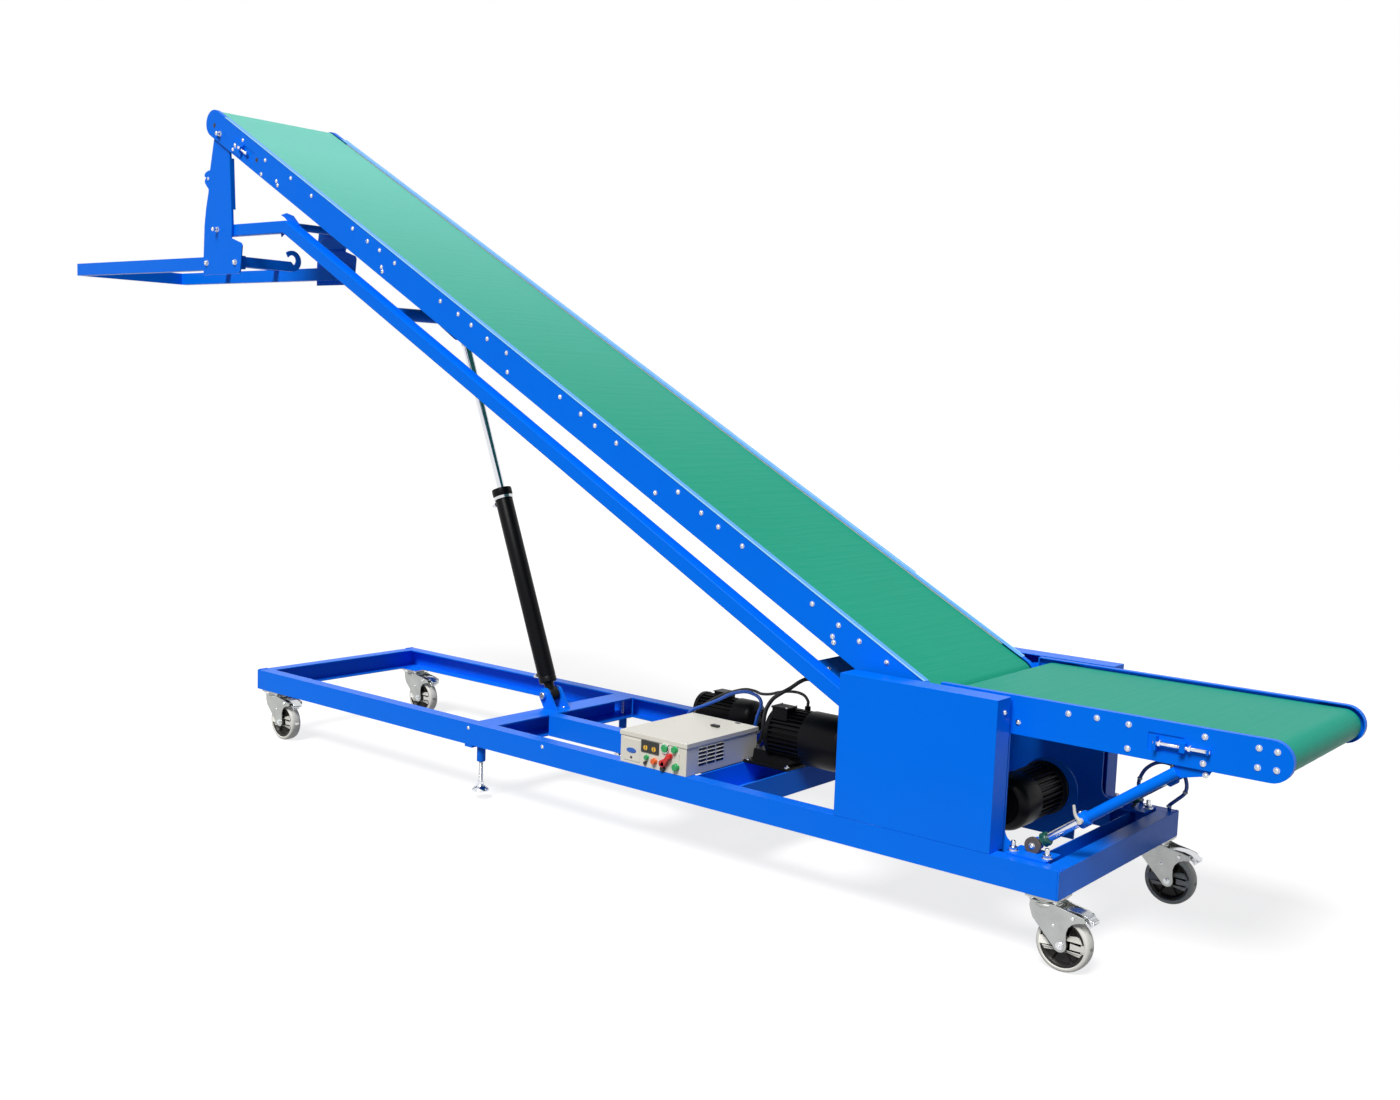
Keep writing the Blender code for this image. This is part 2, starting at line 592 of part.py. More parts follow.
# Motors: finned body, fan cowl, terminal box and foot plate
def motor_body(radius, length, cowl, fins=15, fin=0.006):
    """A motor turned about Z from its drive end at 0 to its cowl end at length."""
    body_end = length - cowl
    outline = []
    for index in range(fins):
        start = 360 * index / fins
        outline += arc((0, 0), radius - fin, start, start + 180 / fins, 1)
        outline += arc((0, 0), radius, start + 180 / fins, start + 360 / fins, 1)
    ribs = slab([(u, v) for u, v in outline], 0.018, body_end + 0.002, "XY")
    flange = turned([(0, 0), (radius - 0.002, 0), (radius + 0.002, 0.004), (radius + 0.002, 0.024),
                     (0, 0.024)], 32)
    cover = turned([(0, body_end), (radius + 0.003, body_end), (radius + 0.003, length - 0.02),
                    (radius - 0.012, length), (0, length)], 32)
    return ribs, flange, cover


def make_motor(name, place, radius, length, cowl, turn, feet):
    """place is the drive end's centre. The cowl points along +Z turned by the matrix."""
    ribs, flange, cover = motor_body(radius, length, cowl)
    where = Matrix.Translation(place) @ turn
    for shape in (ribs, flange, cover):
        bmesh.ops.transform(shape, matrix=where, verts=shape.verts[:])
    solid(name, ribs, BLACK, machine, add=[flange, cover, *feet])


NEAR_MOTOR = (0.600, -0.030, 0.385)
NEAR_MOTOR_RADIUS = 0.092
ALONG_X = Matrix.Rotation(pi / 2, 4, "Y")
ALONG_NEAR = Matrix.Rotation(pi / 2, 4, "X")


def motor_foot(x_low, x_high, centre_y, half, top, waist):
    plate = block((x_low, centre_y - half, FRAME_TOP + SEAT), (x_high, centre_y + half, FRAME_TOP + 0.010))
    stem = block((x_low + 0.01, centre_y - waist, FRAME_TOP + 0.005), (x_high - 0.01, centre_y + waist, top))
    return [plate, stem]


near_feet = motor_foot(MOTOR_CHANNEL_X, MOTOR_CHANNEL_X + MOTOR_CHANNEL_WIDTH, NEAR_MOTOR[1], 0.09,
                       NEAR_MOTOR[2] - 0.06, 0.06)
LOOP_END = (NEAR_MOTOR[0] + 0.100, 0.0, NEAR_MOTOR[2] + NEAR_MOTOR_RADIUS + 0.004)
near_feet.append(block((NEAR_MOTOR[0] + 0.020, NEAR_MOTOR[1] - 0.068, NEAR_MOTOR[2] + 0.06),
                       (NEAR_MOTOR[0] + 0.085, NEAR_MOTOR[1] - 0.008, NEAR_MOTOR[2] + 0.105)))
near_feet.append(rod_between((LOOP_END[0], LOOP_END[1], NEAR_MOTOR[2] + 0.06), LOOP_END,
                             LOOP_CABLE_RADIUS + 0.004, 16))
make_motor("boom_drive_motor", NEAR_MOTOR, NEAR_MOTOR_RADIUS, 0.310, 0.165, ALONG_X, near_feet)

FAR_MOTOR = (0.095, 0.172, 0.358)
FAR_MOTOR_RADIUS = 0.064
far_feet = motor_foot(PUMP_CHANNEL_X, PUMP_CHANNEL_X + PUMP_CHANNEL_WIDTH, FAR_MOTOR[1], 0.06,
                      FAR_MOTOR[2] - 0.03, 0.04)
make_motor("pump_motor", FAR_MOTOR, FAR_MOTOR_RADIUS, 0.28, 0.10, ALONG_X, far_feet)
make_motor("infeed_drive_motor", (INFEED_MOTOR[0], INFEED_MOTOR_FACE, INFEED_MOTOR[1]),
           INFEED_MOTOR_RADIUS, 0.28, 0.10, ALONG_NEAR, [])


# Belt run: side plates, slider bed, belt loop and two pulleys, in a frame whose X runs along it
def run_outline(depth, left, right, left_round, right_round):
    """Outline of a side plate around its centre line, with a round or a square end."""
    half = depth / 2
    outline = arc((right, 0), half, -90, 90, 14) if right_round else [(right, -half), (right, half)]
    outline += arc((left, 0), half, 90, 270, 14) if left_round else [(left, half), (left, -half)]
    return outline


def belt_loop(left, right, radius, half_width):
    outer = arc((right, 0), radius + BELT_THICKNESS, -90, 90, 12)
    outer += arc((left, 0), radius + BELT_THICKNESS, 90, 270, 12)
    inner = arc((right, 0), radius, -90, 90, 12) + arc((left, 0), radius, 90, 270, 12)
    return slab(outer, -half_width, half_width, "XZ", [inner])


def pulley(centre_x, radius, half_width, shaft_reach):
    profile = [(0, -shaft_reach), (SHAFT_RADIUS, -shaft_reach), (SHAFT_RADIUS, -half_width),
               (radius, -half_width), (radius, half_width), (SHAFT_RADIUS, half_width),
               (SHAFT_RADIUS, shaft_reach), (0, shaft_reach)]
    body = turned(profile, 24)
    bmesh.ops.rotate(body, matrix=Matrix.Rotation(pi / 2, 3, "X"), verts=body.verts[:])
    bmesh.ops.translate(body, vec=(centre_x, 0, 0), verts=body.verts[:])
    return body


def slider_bed(left, right, top, half_width):
    outline = [(-half_width, top - BED_SKIRT), (-half_width + BED_WALL, top - BED_SKIRT),
               (-half_width + BED_WALL, top - BED_WALL), (half_width - BED_WALL, top - BED_WALL),
               (half_width - BED_WALL, top - BED_SKIRT), (half_width, top - BED_SKIRT),
               (half_width, top), (-half_width, top)]
    return slab(outline, left, right, "YZ")


def window(centre_x, centre_z, size, outer, side):
    low, high = sorted((side * (outer - 0.02), side * (outer + 0.02)))
    return block((centre_x - size[0] / 2, low, centre_z - size[1] / 2),
                 (centre_x + size[0] / 2, high, centre_z + size[1] / 2))


def web_hole(x, z, radius, outer, side):
    low, high = sorted((side * (outer - 0.02), side * (outer + 0.02)))
    return across((x, z), radius, low, high)


# Boom, hinged on its lower pulley's axis
boom = empty("boom_hinge", BOOM_PIVOT, BOOM_ANGLE, machine)
BELT_RADIUS = BOOM_DEPTH / 2 - BELT_DROP - BELT_THICKNESS
BELT_HALF = BOOM_HALF_WIDTH - RIM_WIDTH - BELT_EDGE_GAP
HEAD_WINDOW_X = -3.800
PIN_HOLE = PIVOT_PIN_RADIUS + PIN_FIT
head_notch_half = 0.170
for side_name, side in (("near", -1), ("far", 1)):
    plate = pan(run_outline(BOOM_DEPTH, -BOOM_LENGTH, 0, True, True), BOOM_HALF_WIDTH,
                BOOM_HALF_WIDTH - RIM_WIDTH, SIDE_WEB, RIM_WALL, side)
    span = sorted((side * (BOOM_HALF_WIDTH - RIM_WIDTH - 0.01), side * (BOOM_HALF_WIDTH - SIDE_WEB)))
    notch = block((HEAD_PIVOT[0] - 0.045, span[0], -BOOM_DEPTH / 2 - 0.01),
                  (HEAD_PIVOT[0] + head_notch_half, span[1], -BOOM_DEPTH / 2 + RIM_WALL + 0.002))
    cuts = [web_hole(0, 0, PIN_HOLE, BOOM_HALF_WIDTH, side),
            web_hole(*HEAD_PIVOT, PIN_HOLE, BOOM_HALF_WIDTH, side),
            window(HEAD_WINDOW_X, -0.008, (0.080, 0.036), BOOM_HALF_WIDTH, side), notch]
    solid(f"boom_side_{side_name}", plate, BLUE, boom, cut=cuts)
WEB_INNER = BOOM_HALF_WIDTH - SIDE_WEB
solid("boom_bed", slider_bed(-BOOM_LENGTH + 0.120, -0.080, BELT_RADIUS - SEAT, WEB_INNER - SEAT),
      STEEL, boom)
solid("boom_belt", belt_loop(-BOOM_LENGTH, 0, BELT_RADIUS, BELT_HALF), BELT_GREEN, boom)
solid("boom_head_pulley", pulley(-BOOM_LENGTH, BELT_RADIUS - SEAT, BELT_HALF, WEB_INNER - SEAT),
      STEEL, boom)
solid("boom_tail_pulley", pulley(0, BELT_RADIUS - SEAT, BELT_HALF, WEB_INNER - 0.003),
      STEEL, boom)

# Infeed, level and fixed to the tower plates
infeed = empty("infeed_axis", (INFEED_X, 0, INFEED_Z), 0, machine)
INFEED_BELT_RADIUS = INFEED_DEPTH / 2 - INFEED_BELT_DROP - BELT_THICKNESS
INFEED_LEFT = BOOM_PIVOT.x + BOOM_DEPTH / 2 + INFEED_END_GAP - INFEED_X
TAKE_UP_X = 0.602
for side_name, side in (("near", -1), ("far", 1)):
    plate = pan(run_outline(INFEED_DEPTH, INFEED_LEFT, INFEED_LENGTH, False, True),
                INFEED_HALF_WIDTH, INFEED_HALF_WIDTH - RIM_WIDTH, SIDE_WEB, RIM_WALL, side)
    solid(f"infeed_side_{side_name}", plate, BLUE, infeed,
          cut=[window(TAKE_UP_X, -0.003, TAKE_UP_WINDOW, INFEED_HALF_WIDTH, side)])
INFEED_WEB_INNER = INFEED_HALF_WIDTH - SIDE_WEB
solid("infeed_bed", slider_bed(0.075, INFEED_LENGTH - 0.080, INFEED_BELT_RADIUS - SEAT,
                               INFEED_WEB_INNER - SEAT), STEEL, infeed)
solid("infeed_belt", belt_loop(0, INFEED_LENGTH, INFEED_BELT_RADIUS, BELT_HALF), BELT_GREEN, infeed)
for name, x in (("infeed_inner_pulley", 0), ("infeed_outer_pulley", INFEED_LENGTH)):
    solid(name, pulley(x, INFEED_BELT_RADIUS - SEAT, BELT_HALF, INFEED_WEB_INNER - SEAT),
          STEEL, infeed)

# Head carrier: two plates, kept level, that carry the tray frame
head = empty("head_hinge", HEAD_PIN, 0, machine)
LINK_AT_HEAD = LINK_OFFSET
head_outline = arc((0, 0), HEAD_TOP_RADIUS, 0, 180, 12)
head_outline += [(-0.050, -0.100), (-0.062, -0.150)]
head_outline += arc((-0.078, -0.177), 0.020, 130, 250, 6)
head_outline += [(-0.090, -0.290), (-0.117, -0.515), (-0.117, -0.588), (0.148, -0.588),
                 (0.162, -0.574), (0.180, -0.458), (0.108, -0.440), (0.106, -0.368),
                 (0.081, -0.063)]
for side_name, side in (("near", -1), ("far", 1)):
    faces = sorted((side * HEAD_PLATE_INNER, side * HEAD_PLATE_OUTER))
    lip_faces = sorted((side * (HEAD_PLATE_INNER - 0.016), side * (HEAD_PLATE_INNER + HEAD_PLATE / 2)))
    lip = slab([(0.0775, -0.100), (0.0835, -0.100), (0.1012, -0.315), (0.0952, -0.315)], *lip_faces)
    top_pin = across((0, 0), PIVOT_PIN_RADIUS,
                     *sorted((side * (HEAD_PLATE_INNER + HEAD_PLATE / 2), side * (BOOM_HALF_WIDTH + 0.004))))
    link_pin = across(LINK_AT_HEAD, PIVOT_PIN_RADIUS,
                      *sorted((side * (LINK_INNER + 0.006), side * (HEAD_PLATE_INNER + HEAD_PLATE / 2))))
    solid(f"head_plate_{side_name}", slab(head_outline, *faces), BLUE, head,
          add=[lip, top_pin, link_pin])

# Tray frame: an open frame of rails between the head plates, with a cross bar and cable hooks
TRAY_OUTER = HEAD_PLATE_INNER - SEAT
TRAY_INNER = TRAY_OUTER - TRAY_RAIL_WIDTH
TRAY_BACK = 0.140
TRAY_LOW = -TRAY_TOP_DROP - TRAY_RAIL_HEIGHT
TRAY_BARS = (-0.82, -0.42)
BAR_WIDTH = 0.040
TRAY_OPEN_FROM = TRAY_BARS[-1] + BAR_WIDTH
HOOK_X = 0.110
HOOK_END_Y = -0.010
HOOK_WEB = 0.043          # height of the flat bar that carries the near hook


def hook(start_y, end_y, x, z, curl):
    """A flat bar along Y, lying on z, whose end rolls up and back."""
    direction = 1 if end_y > start_y else -1
    outer = [(start_y, z)]
    inner = [(start_y, z + HOOK_BAR)]
    centre = (end_y, z + curl)
    for step in range(13):
        angle = radians(-90 + 200 * step / 12)
        outer.append((centre[0] + direction * curl * cos(angle), centre[1] + curl * sin(angle)))
        inner.append((centre[0] + direction * (curl - HOOK_BAR) * cos(angle),
                      centre[1] + (curl - HOOK_BAR) * sin(angle)))
    return slab(outer + inner[::-1], x, x + 0.030, "YZ")


frame_outline = [(-TRAY_REACH, -TRAY_OUTER), (TRAY_BACK, -TRAY_OUTER), (TRAY_BACK, -TRAY_INNER),
                 (TRAY_OPEN_FROM, -TRAY_INNER), (TRAY_OPEN_FROM, TRAY_INNER), (TRAY_BACK, TRAY_INNER),
                 (TRAY_BACK, TRAY_OUTER), (-TRAY_REACH, TRAY_OUTER)]
bays = []
edges = [-TRAY_REACH + TRAY_RAIL_WIDTH]
for bar in TRAY_BARS:
    edges += [bar, bar + BAR_WIDTH]
for left, right in zip(edges[0::2], edges[1::2]):
    bays.append([(left, -TRAY_INNER), (right, -TRAY_INNER), (right, TRAY_INNER), (left, TRAY_INNER)])
hooks = [hook(-TRAY_INNER - 0.01, HOOK_END_Y, HOOK_X, TRAY_LOW + 0.010, 0.040),
         hook(TRAY_INNER + 0.01, TRAY_INNER - 0.060, HOOK_X, TRAY_LOW + 0.040, 0.020),
         block((HOOK_X, -TRAY_INNER - 0.01, TRAY_LOW + 0.012),
               (HOOK_X + HOOK_BAR, HOOK_END_Y, TRAY_LOW + 0.012 + HOOK_WEB))]
tray = slab(frame_outline, TRAY_LOW, TRAY_LOW + TRAY_RAIL_HEIGHT, "XY", bays)
solid("tray_frame", tray, BLUE, head, add=hooks)

# Link frame: two cranked bars with a horizontal arm at the head and a crank at the foot
link = empty("link_hinge", LINK_PIVOT, 0, machine)


def link_point(along, off):
    """A place in the link's frame from distances along the boom and off its lower edge."""
    point = BOOM_PIVOT + UP_BOOM * along + OFF_BOOM * off - LINK_PIVOT
    return (point.x, point.z)


LIP_TOP = -BOOM_DEPTH / 2 - LINK_GAP
BAR_TOP = LIP_TOP - LINK_LIP
BAR_LOW = BAR_TOP - LINK_BAR_DEPTH
BAR_MIDDLE = (BAR_TOP + BAR_LOW) / 2
HEAD_END = Vector((HEAD_PIN.x + LINK_OFFSET[0] - LINK_PIVOT.x,
                   HEAD_PIN.z + LINK_OFFSET[1] - LINK_PIVOT.z))
ARM_TOP = HEAD_END.y + LINK_BAR_DEPTH / 2
ARM_LOW = HEAD_END.y - LINK_BAR_DEPTH / 2


def along_at_height(off, height):
    """How far up the boom a line at a distance off it reaches a height in the link's frame."""
    rise = BOOM_PIVOT.z - LINK_PIVOT.z + OFF_BOOM.z * off
    return (height - rise) / UP_BOOM.z


top_corner = along_at_height(BAR_TOP, ARM_TOP)
low_corner = along_at_height(BAR_LOW, ARM_LOW)
FOOT_ALONG = 0.050
bar_outline = [link_point(top_corner, BAR_TOP), (HEAD_END.x, ARM_TOP)]
bar_outline += arc(HEAD_END, LINK_BAR_DEPTH / 2, 90, 270, 10)[1:]
bar_outline += [link_point(low_corner, BAR_LOW), link_point(0.130, BAR_LOW)]
bar_outline += arc((0, 0), 0.034, 180, 375, 12)
bar_outline += [(0.012, 0.160), link_point(FOOT_ALONG, BAR_TOP - 0.012), link_point(FOOT_ALONG + 0.03, BAR_TOP)]
lip_outline = [link_point(top_corner - 0.03, BAR_TOP - LINK_LIP_WALL),
               link_point(FOOT_ALONG + 0.03, BAR_TOP - LINK_LIP_WALL),
               link_point(FOOT_ALONG + 0.03, LIP_TOP), link_point(top_corner - 0.03, LIP_TOP)]
for side_name, side in (("near", -1), ("far", 1)):
    faces = sorted((side * LINK_INNER, side * LINK_OUTER))
    lip_faces = sorted((side * LINK_INNER, side * (LINK_INNER + LINK_LIP_WALL)))
    cuts = [across(place, PIN_HOLE, side * LINK_INNER - 0.02, side * LINK_OUTER + 0.02)
            if side > 0 else across(place, PIN_HOLE, side * LINK_OUTER - 0.02, side * LINK_INNER + 0.02)
            for place in ((0, 0), tuple(HEAD_END))]
    solid(f"link_bar_{side_name}", slab(bar_outline, *faces), BLUE, link,
          add=[slab(lip_outline, *lip_faces)], cut=cuts)

# Cross tubes of the link frame: one at the arm's corner, one with the lugs for the cylinder's eye
corner_tube = Vector(link_point((top_corner + low_corner) / 2, BAR_MIDDLE + 0.006))
tube_span = LINK_INNER - SEAT
solid("link_corner_tube", across(corner_tube, 0.034, -tube_span, tube_span), BLUE, link)
foot_plate = [link_point(along, off) for along, off in
              ((FOOT_PLATE_HIGH, BAR_TOP), (FOOT_PLATE_HIGH, BAR_TOP - FOOT_PLATE_WALL),
               (FOOT_PLATE_LOW, BAR_TOP - FOOT_PLATE_WALL), (FOOT_PLATE_LOW, BAR_TOP))]
solid("link_foot_plate", slab(foot_plate, -tube_span, tube_span), BLUE, link)
eye = (CYLINDER_EYE[0] - LINK_PIVOT.x, CYLINDER_EYE[1] - LINK_PIVOT.z)
LUG_REACH = 0.130
EYE_HALF = 0.015
LUG_GAP = 0.010
tube_centre = (eye[0] + UP_BOOM.x * LUG_REACH, eye[1] + UP_BOOM.z * LUG_REACH)
eye_lug = arc(eye, EYE_RADIUS, -BOOM_ANGLE - 90, -BOOM_ANGLE + 90, 10)
eye_lug += [(tube_centre[0] + OFF_BOOM.x * 0.022, tube_centre[1] + OFF_BOOM.z * 0.022),
            (tube_centre[0] - OFF_BOOM.x * 0.022, tube_centre[1] - OFF_BOOM.z * 0.022)]
plates = []
for side in (-1, 1):
    inner_face = EYE_HALF + LUG_GAP
    plates.append(slab(eye_lug, *sorted((side * inner_face, side * (inner_face + LUG_PLATE)))))
    plates.append(across(eye, CYLINDER_PIN_RADIUS + 0.004,
                         *sorted((side * (inner_face + LUG_PLATE / 2), side * (inner_face + LUG_PLATE + 0.008)))))
solid("link_cylinder_tube", across(tube_centre, CROSS_TUBE_RADIUS, -tube_span, tube_span),
      BLUE, link, add=plates)

# Lift cylinder: its barrel turns on the foot pin, its rod ends between the eye lugs
cylinder_line = Vector((CYLINDER_EYE[0] - CYLINDER_FOOT[0], 0, CYLINDER_EYE[1] - CYLINDER_FOOT[1]))
CYLINDER_REACH = cylinder_line.length
cylinder_lean = degrees(atan2(cylinder_line.x, cylinder_line.z))
cylinder = empty("cylinder_hinge", (CYLINDER_FOOT[0], 0, CYLINDER_FOOT[1]), cylinder_lean, machine)
barrel = turned([(0, 0.045), (BARREL_RADIUS, 0.045), (BARREL_RADIUS, BARREL_LENGTH - 0.030),
                 (BARREL_RADIUS + 0.005, BARREL_LENGTH - 0.027),
                 (BARREL_RADIUS + 0.005, BARREL_LENGTH), (ROD_RADIUS + PIN_FIT, BARREL_LENGTH),
                 (ROD_RADIUS + PIN_FIT, BARREL_LENGTH - 0.040), (BORE_RADIUS, BARREL_LENGTH - 0.040),
                 (BORE_RADIUS, 0.080), (0, 0.080)], 32)
foot_eye = across((0, 0), EYE_RADIUS - 0.003, -eye_half, eye_half)
neck = block((-0.018, -eye_half + 0.004, 0.0), (0.018, eye_half - 0.004, 0.060))
eye_hole = across((0, 0), CYLINDER_PIN_RADIUS + PIN_FIT, -0.06, 0.06)
solid("cylinder_barrel", barrel, BLACK, cylinder, add=[foot_eye, neck], cut=[eye_hole])

PISTON_AT = BARREL_LENGTH - 0.210
PISTON_LENGTH = 0.040
rod = turned([(0, PISTON_AT), (BORE_RADIUS - PIN_FIT, PISTON_AT),
              (BORE_RADIUS - PIN_FIT, PISTON_AT + PISTON_LENGTH),
              (ROD_RADIUS, PISTON_AT + PISTON_LENGTH), (ROD_RADIUS, CYLINDER_REACH - 0.012),
              (0, CYLINDER_REACH - 0.012)], 20)
rod_eye = across((0, CYLINDER_REACH), EYE_RADIUS, -EYE_HALF, EYE_HALF)
rod_hole = across((0, CYLINDER_REACH), CYLINDER_PIN_RADIUS + PIN_FIT, -0.05, 0.05)
solid("cylinder_rod", rod, STEEL, cylinder, add=[rod_eye], cut=[rod_hole])

# Braces: a foot bolted on the rail, a bright rod, and a tube with a gusset below the infeed
def make_brace(side_name, side):
    angle = radians(BRACE_ANGLE)
    along = Vector((cos(angle), 0, sin(angle)))
    foot = Vector((BRACE_FOOT[0], side * BRACE_Y, BRACE_FOOT[1]))
    base = FRAME_TOP + SEAT
    plate_y = sorted((side * (BRACE_Y - BRACE_TUBE_RADIUS), side * (HALF_WIDTH - BRACE_FOOT_INSET)))
    plate = block((foot.x - 0.055, plate_y[0], base), (foot.x + 0.065, plate_y[1], base + 0.006))
    web_y = sorted((side * (BRACE_Y - 0.004), side * (BRACE_Y + 0.004)))
    web = block((foot.x - 0.010, web_y[0], base + 0.003), (foot.x + 0.012, web_y[1], foot.z))
    disc = rod_between(foot, foot + along * 0.012, BRACE_TUBE_RADIUS)
    solid(f"brace_foot_{side_name}", plate, BLUE, machine, add=[web, disc])

    start = foot + along * (0.012 + SEAT)
    solid(f"brace_rod_{side_name}",
          rod_between(start, foot + along * (BRACE_ROD_REACH + BRACE_OVERLAP), BRACE_ROD_RADIUS),
          STEEL, machine)

    mouth = foot + along * BRACE_ROD_REACH
    end = foot + along * BRACE_REACH
    tube = rod_between(mouth, end, BRACE_TUBE_RADIUS)
    clamp = rod_between(mouth, mouth + along * 0.030, BRACE_TUBE_RADIUS + 0.006)
    bore = rod_between(mouth - along * 0.01, mouth + along * (BRACE_OVERLAP + 0.01),
                       BRACE_ROD_RADIUS + SEAT)
    top = INFEED_TOP_Z - INFEED_DEPTH - SEAT
    gusset = [(end.x - 0.035, end.z - 0.030), (end.x + 0.006, end.z - 0.020), (end.x + 0.120, top - 0.016),
              (end.x + 0.130, top), (end.x - 0.004, top)]
    gusset_y = sorted((side * (BRACE_Y - 0.004), side * (BRACE_Y + 0.004)))
    solid(f"brace_tube_{side_name}", tube, BLUE, machine, add=[clamp, slab(gusset, *gusset_y)],
          cut=[bore])


make_brace("near", -1)
make_brace("far", 1)


# Cables and hoses: a tube along a smooth curve through points chosen by hand
def smooth_route(points, spacing):
    """Points a given distance apart on a Catmull-Rom curve through the given ones."""
    stops = [Vector(p) for p in points]
    stops = [stops[0] * 2 - stops[1], *stops, stops[-1] * 2 - stops[-2]]
    route = [stops[1]]
    for a, b, c, d in zip(stops, stops[1:], stops[2:], stops[3:]):
        steps = max(2, ceil((c - b).length / spacing))
        for step in range(1, steps + 1):
            t = step / steps
            route.append(0.5 * (2 * b + (c - a) * t + (2 * a - 5 * b + 4 * c - d) * t ** 2
                                + (3 * b - a - 3 * c + d) * t ** 3))
    return route


def make_cord(name, points, radius, shade):
    line = bpy.data.curves.new(name, "CURVE")
    line.dimensions = "3D"
    line.bevel_depth = radius
    line.bevel_resolution = 2
    line.use_fill_caps = True
    route = smooth_route(points, 5 * radius)
    spline = line.splines.new("POLY")
    spline.points.add(len(route) - 1)
    for target, point in zip(spline.points, route):
        target.co = (*point, 1)
    line.materials.append(shade)
    item = bpy.data.objects.new(name, line)
    bpy.context.collection.objects.link(item)
    item.parent = machine


def lead(point, direction):
    """Three points in line, so that a cord leaves its socket straight."""
    start = Vector(point)
    return [start + Vector(direction) * 0.008 * step for step in range(3)]


GLAND_Y = BOX_BACK + GLAND_LENGTH + SEAT
RAIL_HOSE_Y = HALF_WIDTH - RAIL_HOSE_INSET
BACK = (0, 1, 0)
UP = (0, 0, 1)
BASE = FRAME_TOP + SEAT
make_cord("power_cable", [
    *lead((POWER_GLAND[0], GLAND_Y, POWER_GLAND[1]), BACK), (0.520, -0.006, 0.344),
    (0.531, -0.014, 0.376), (0.535, -0.018, 0.412), (0.545, -0.020, 0.449), (0.567, -0.020, 0.484),
    (0.594, -0.016, 0.507), (0.619, 0.010, 0.528), (0.640, 0.035, 0.550), (0.658, 0.056, 0.559),
    (0.684, 0.071, 0.549), (0.720, 0.079, 0.527), (0.760, 0.080, 0.503), (0.805, 0.078, 0.480),
    (0.870, 0.070, 0.452), (0.955, 0.055, 0.421), (1.050, 0.040, 0.382), (1.140, 0.028, 0.334),
    (1.220, 0.021, 0.288), (1.285, 0.020, 0.259),
    *lead((TOWER_CHANNEL_X - SEAT, 0.020, 0.250), (-1, 0, 0))[::-1],
], POWER_CABLE_RADIUS, RUBBER)
make_cord("loop_cable", [
    *lead((LOOP_GLAND[0], GLAND_Y, LOOP_GLAND[1]), BACK), (0.242, 0.000, 0.326),
    (0.212, 0.010, 0.352), (0.198, 0.030, 0.378), (0.222, 0.050, 0.401), (0.262, 0.062, 0.430),
    (0.313, 0.070, 0.455), (0.371, 0.080, 0.475), (0.416, 0.080, 0.477), (0.454, 0.070, 0.474),
    (0.504, 0.055, 0.483), (0.548, 0.040, 0.498), (0.598, 0.026, 0.511), (0.650, 0.010, 0.518),
    (0.683, 0.003, 0.513), *lead((LOOP_END[0], LOOP_END[1], LOOP_END[2] + SEAT), UP)[::-1],
], LOOP_CABLE_RADIUS, RUBBER)
make_cord("pump_hose", [
    *lead((HOSE_GLAND[0], GLAND_Y, HOSE_GLAND[1]), BACK), (0.474, 0.000, 0.340),
    (0.482, 0.003, 0.370), (0.490, 0.004, 0.410), (0.505, 0.004, 0.452), (0.494, 0.004, 0.476),
    (0.463, 0.004, 0.486), (0.428, 0.004, 0.486), (0.375, 0.004, 0.470), (0.321, 0.004, 0.441),
    (0.262, -0.002, 0.411), (0.224, -0.006, 0.394), (0.196, -0.008, 0.372), (0.188, -0.008, 0.338),
    *lead((PUMP_CHANNEL_X + 0.015, -0.008, BASE), UP)[::-1],
], HOSE_RADIUS, BLUE_HOSE)
RAIL_LOOP = [(1.812, 0.318), (1.834, 0.342), (1.838, 0.370), (1.826, 0.400), (1.796, 0.421),
             (1.749, 0.423), (1.709, 0.396), (1.689, 0.356), (1.690, 0.325)]
make_cord("rail_hose", [
    *lead((1.790, RAIL_HOSE_Y, BASE), UP),
    *((x, RAIL_HOSE_Y, z) for x, z in RAIL_LOOP),
    *lead((1.700, RAIL_HOSE_Y, BASE), UP)[::-1],
], HOSE_RADIUS, BLUE_HOSE)
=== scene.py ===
import json
from math import cos, pi, radians, sin

import bmesh
import bpy
import numpy as np
from mathutils import Matrix

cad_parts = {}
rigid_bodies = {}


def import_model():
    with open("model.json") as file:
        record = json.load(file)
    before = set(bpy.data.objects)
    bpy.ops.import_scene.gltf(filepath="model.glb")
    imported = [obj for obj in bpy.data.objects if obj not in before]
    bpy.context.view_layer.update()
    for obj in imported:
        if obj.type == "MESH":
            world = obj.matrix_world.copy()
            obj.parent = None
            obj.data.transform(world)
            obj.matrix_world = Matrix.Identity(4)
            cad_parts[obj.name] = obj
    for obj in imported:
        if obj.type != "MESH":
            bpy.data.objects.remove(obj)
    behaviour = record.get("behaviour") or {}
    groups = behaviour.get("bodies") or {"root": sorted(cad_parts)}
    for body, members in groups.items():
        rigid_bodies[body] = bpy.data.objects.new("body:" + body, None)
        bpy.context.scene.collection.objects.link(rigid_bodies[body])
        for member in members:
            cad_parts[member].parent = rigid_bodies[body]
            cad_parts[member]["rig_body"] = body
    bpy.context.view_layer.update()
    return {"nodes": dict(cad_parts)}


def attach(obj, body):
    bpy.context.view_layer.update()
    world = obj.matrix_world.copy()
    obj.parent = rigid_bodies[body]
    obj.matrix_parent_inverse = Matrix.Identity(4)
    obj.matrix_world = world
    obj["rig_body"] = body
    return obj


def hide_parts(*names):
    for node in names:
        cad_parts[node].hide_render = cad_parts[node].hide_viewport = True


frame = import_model()

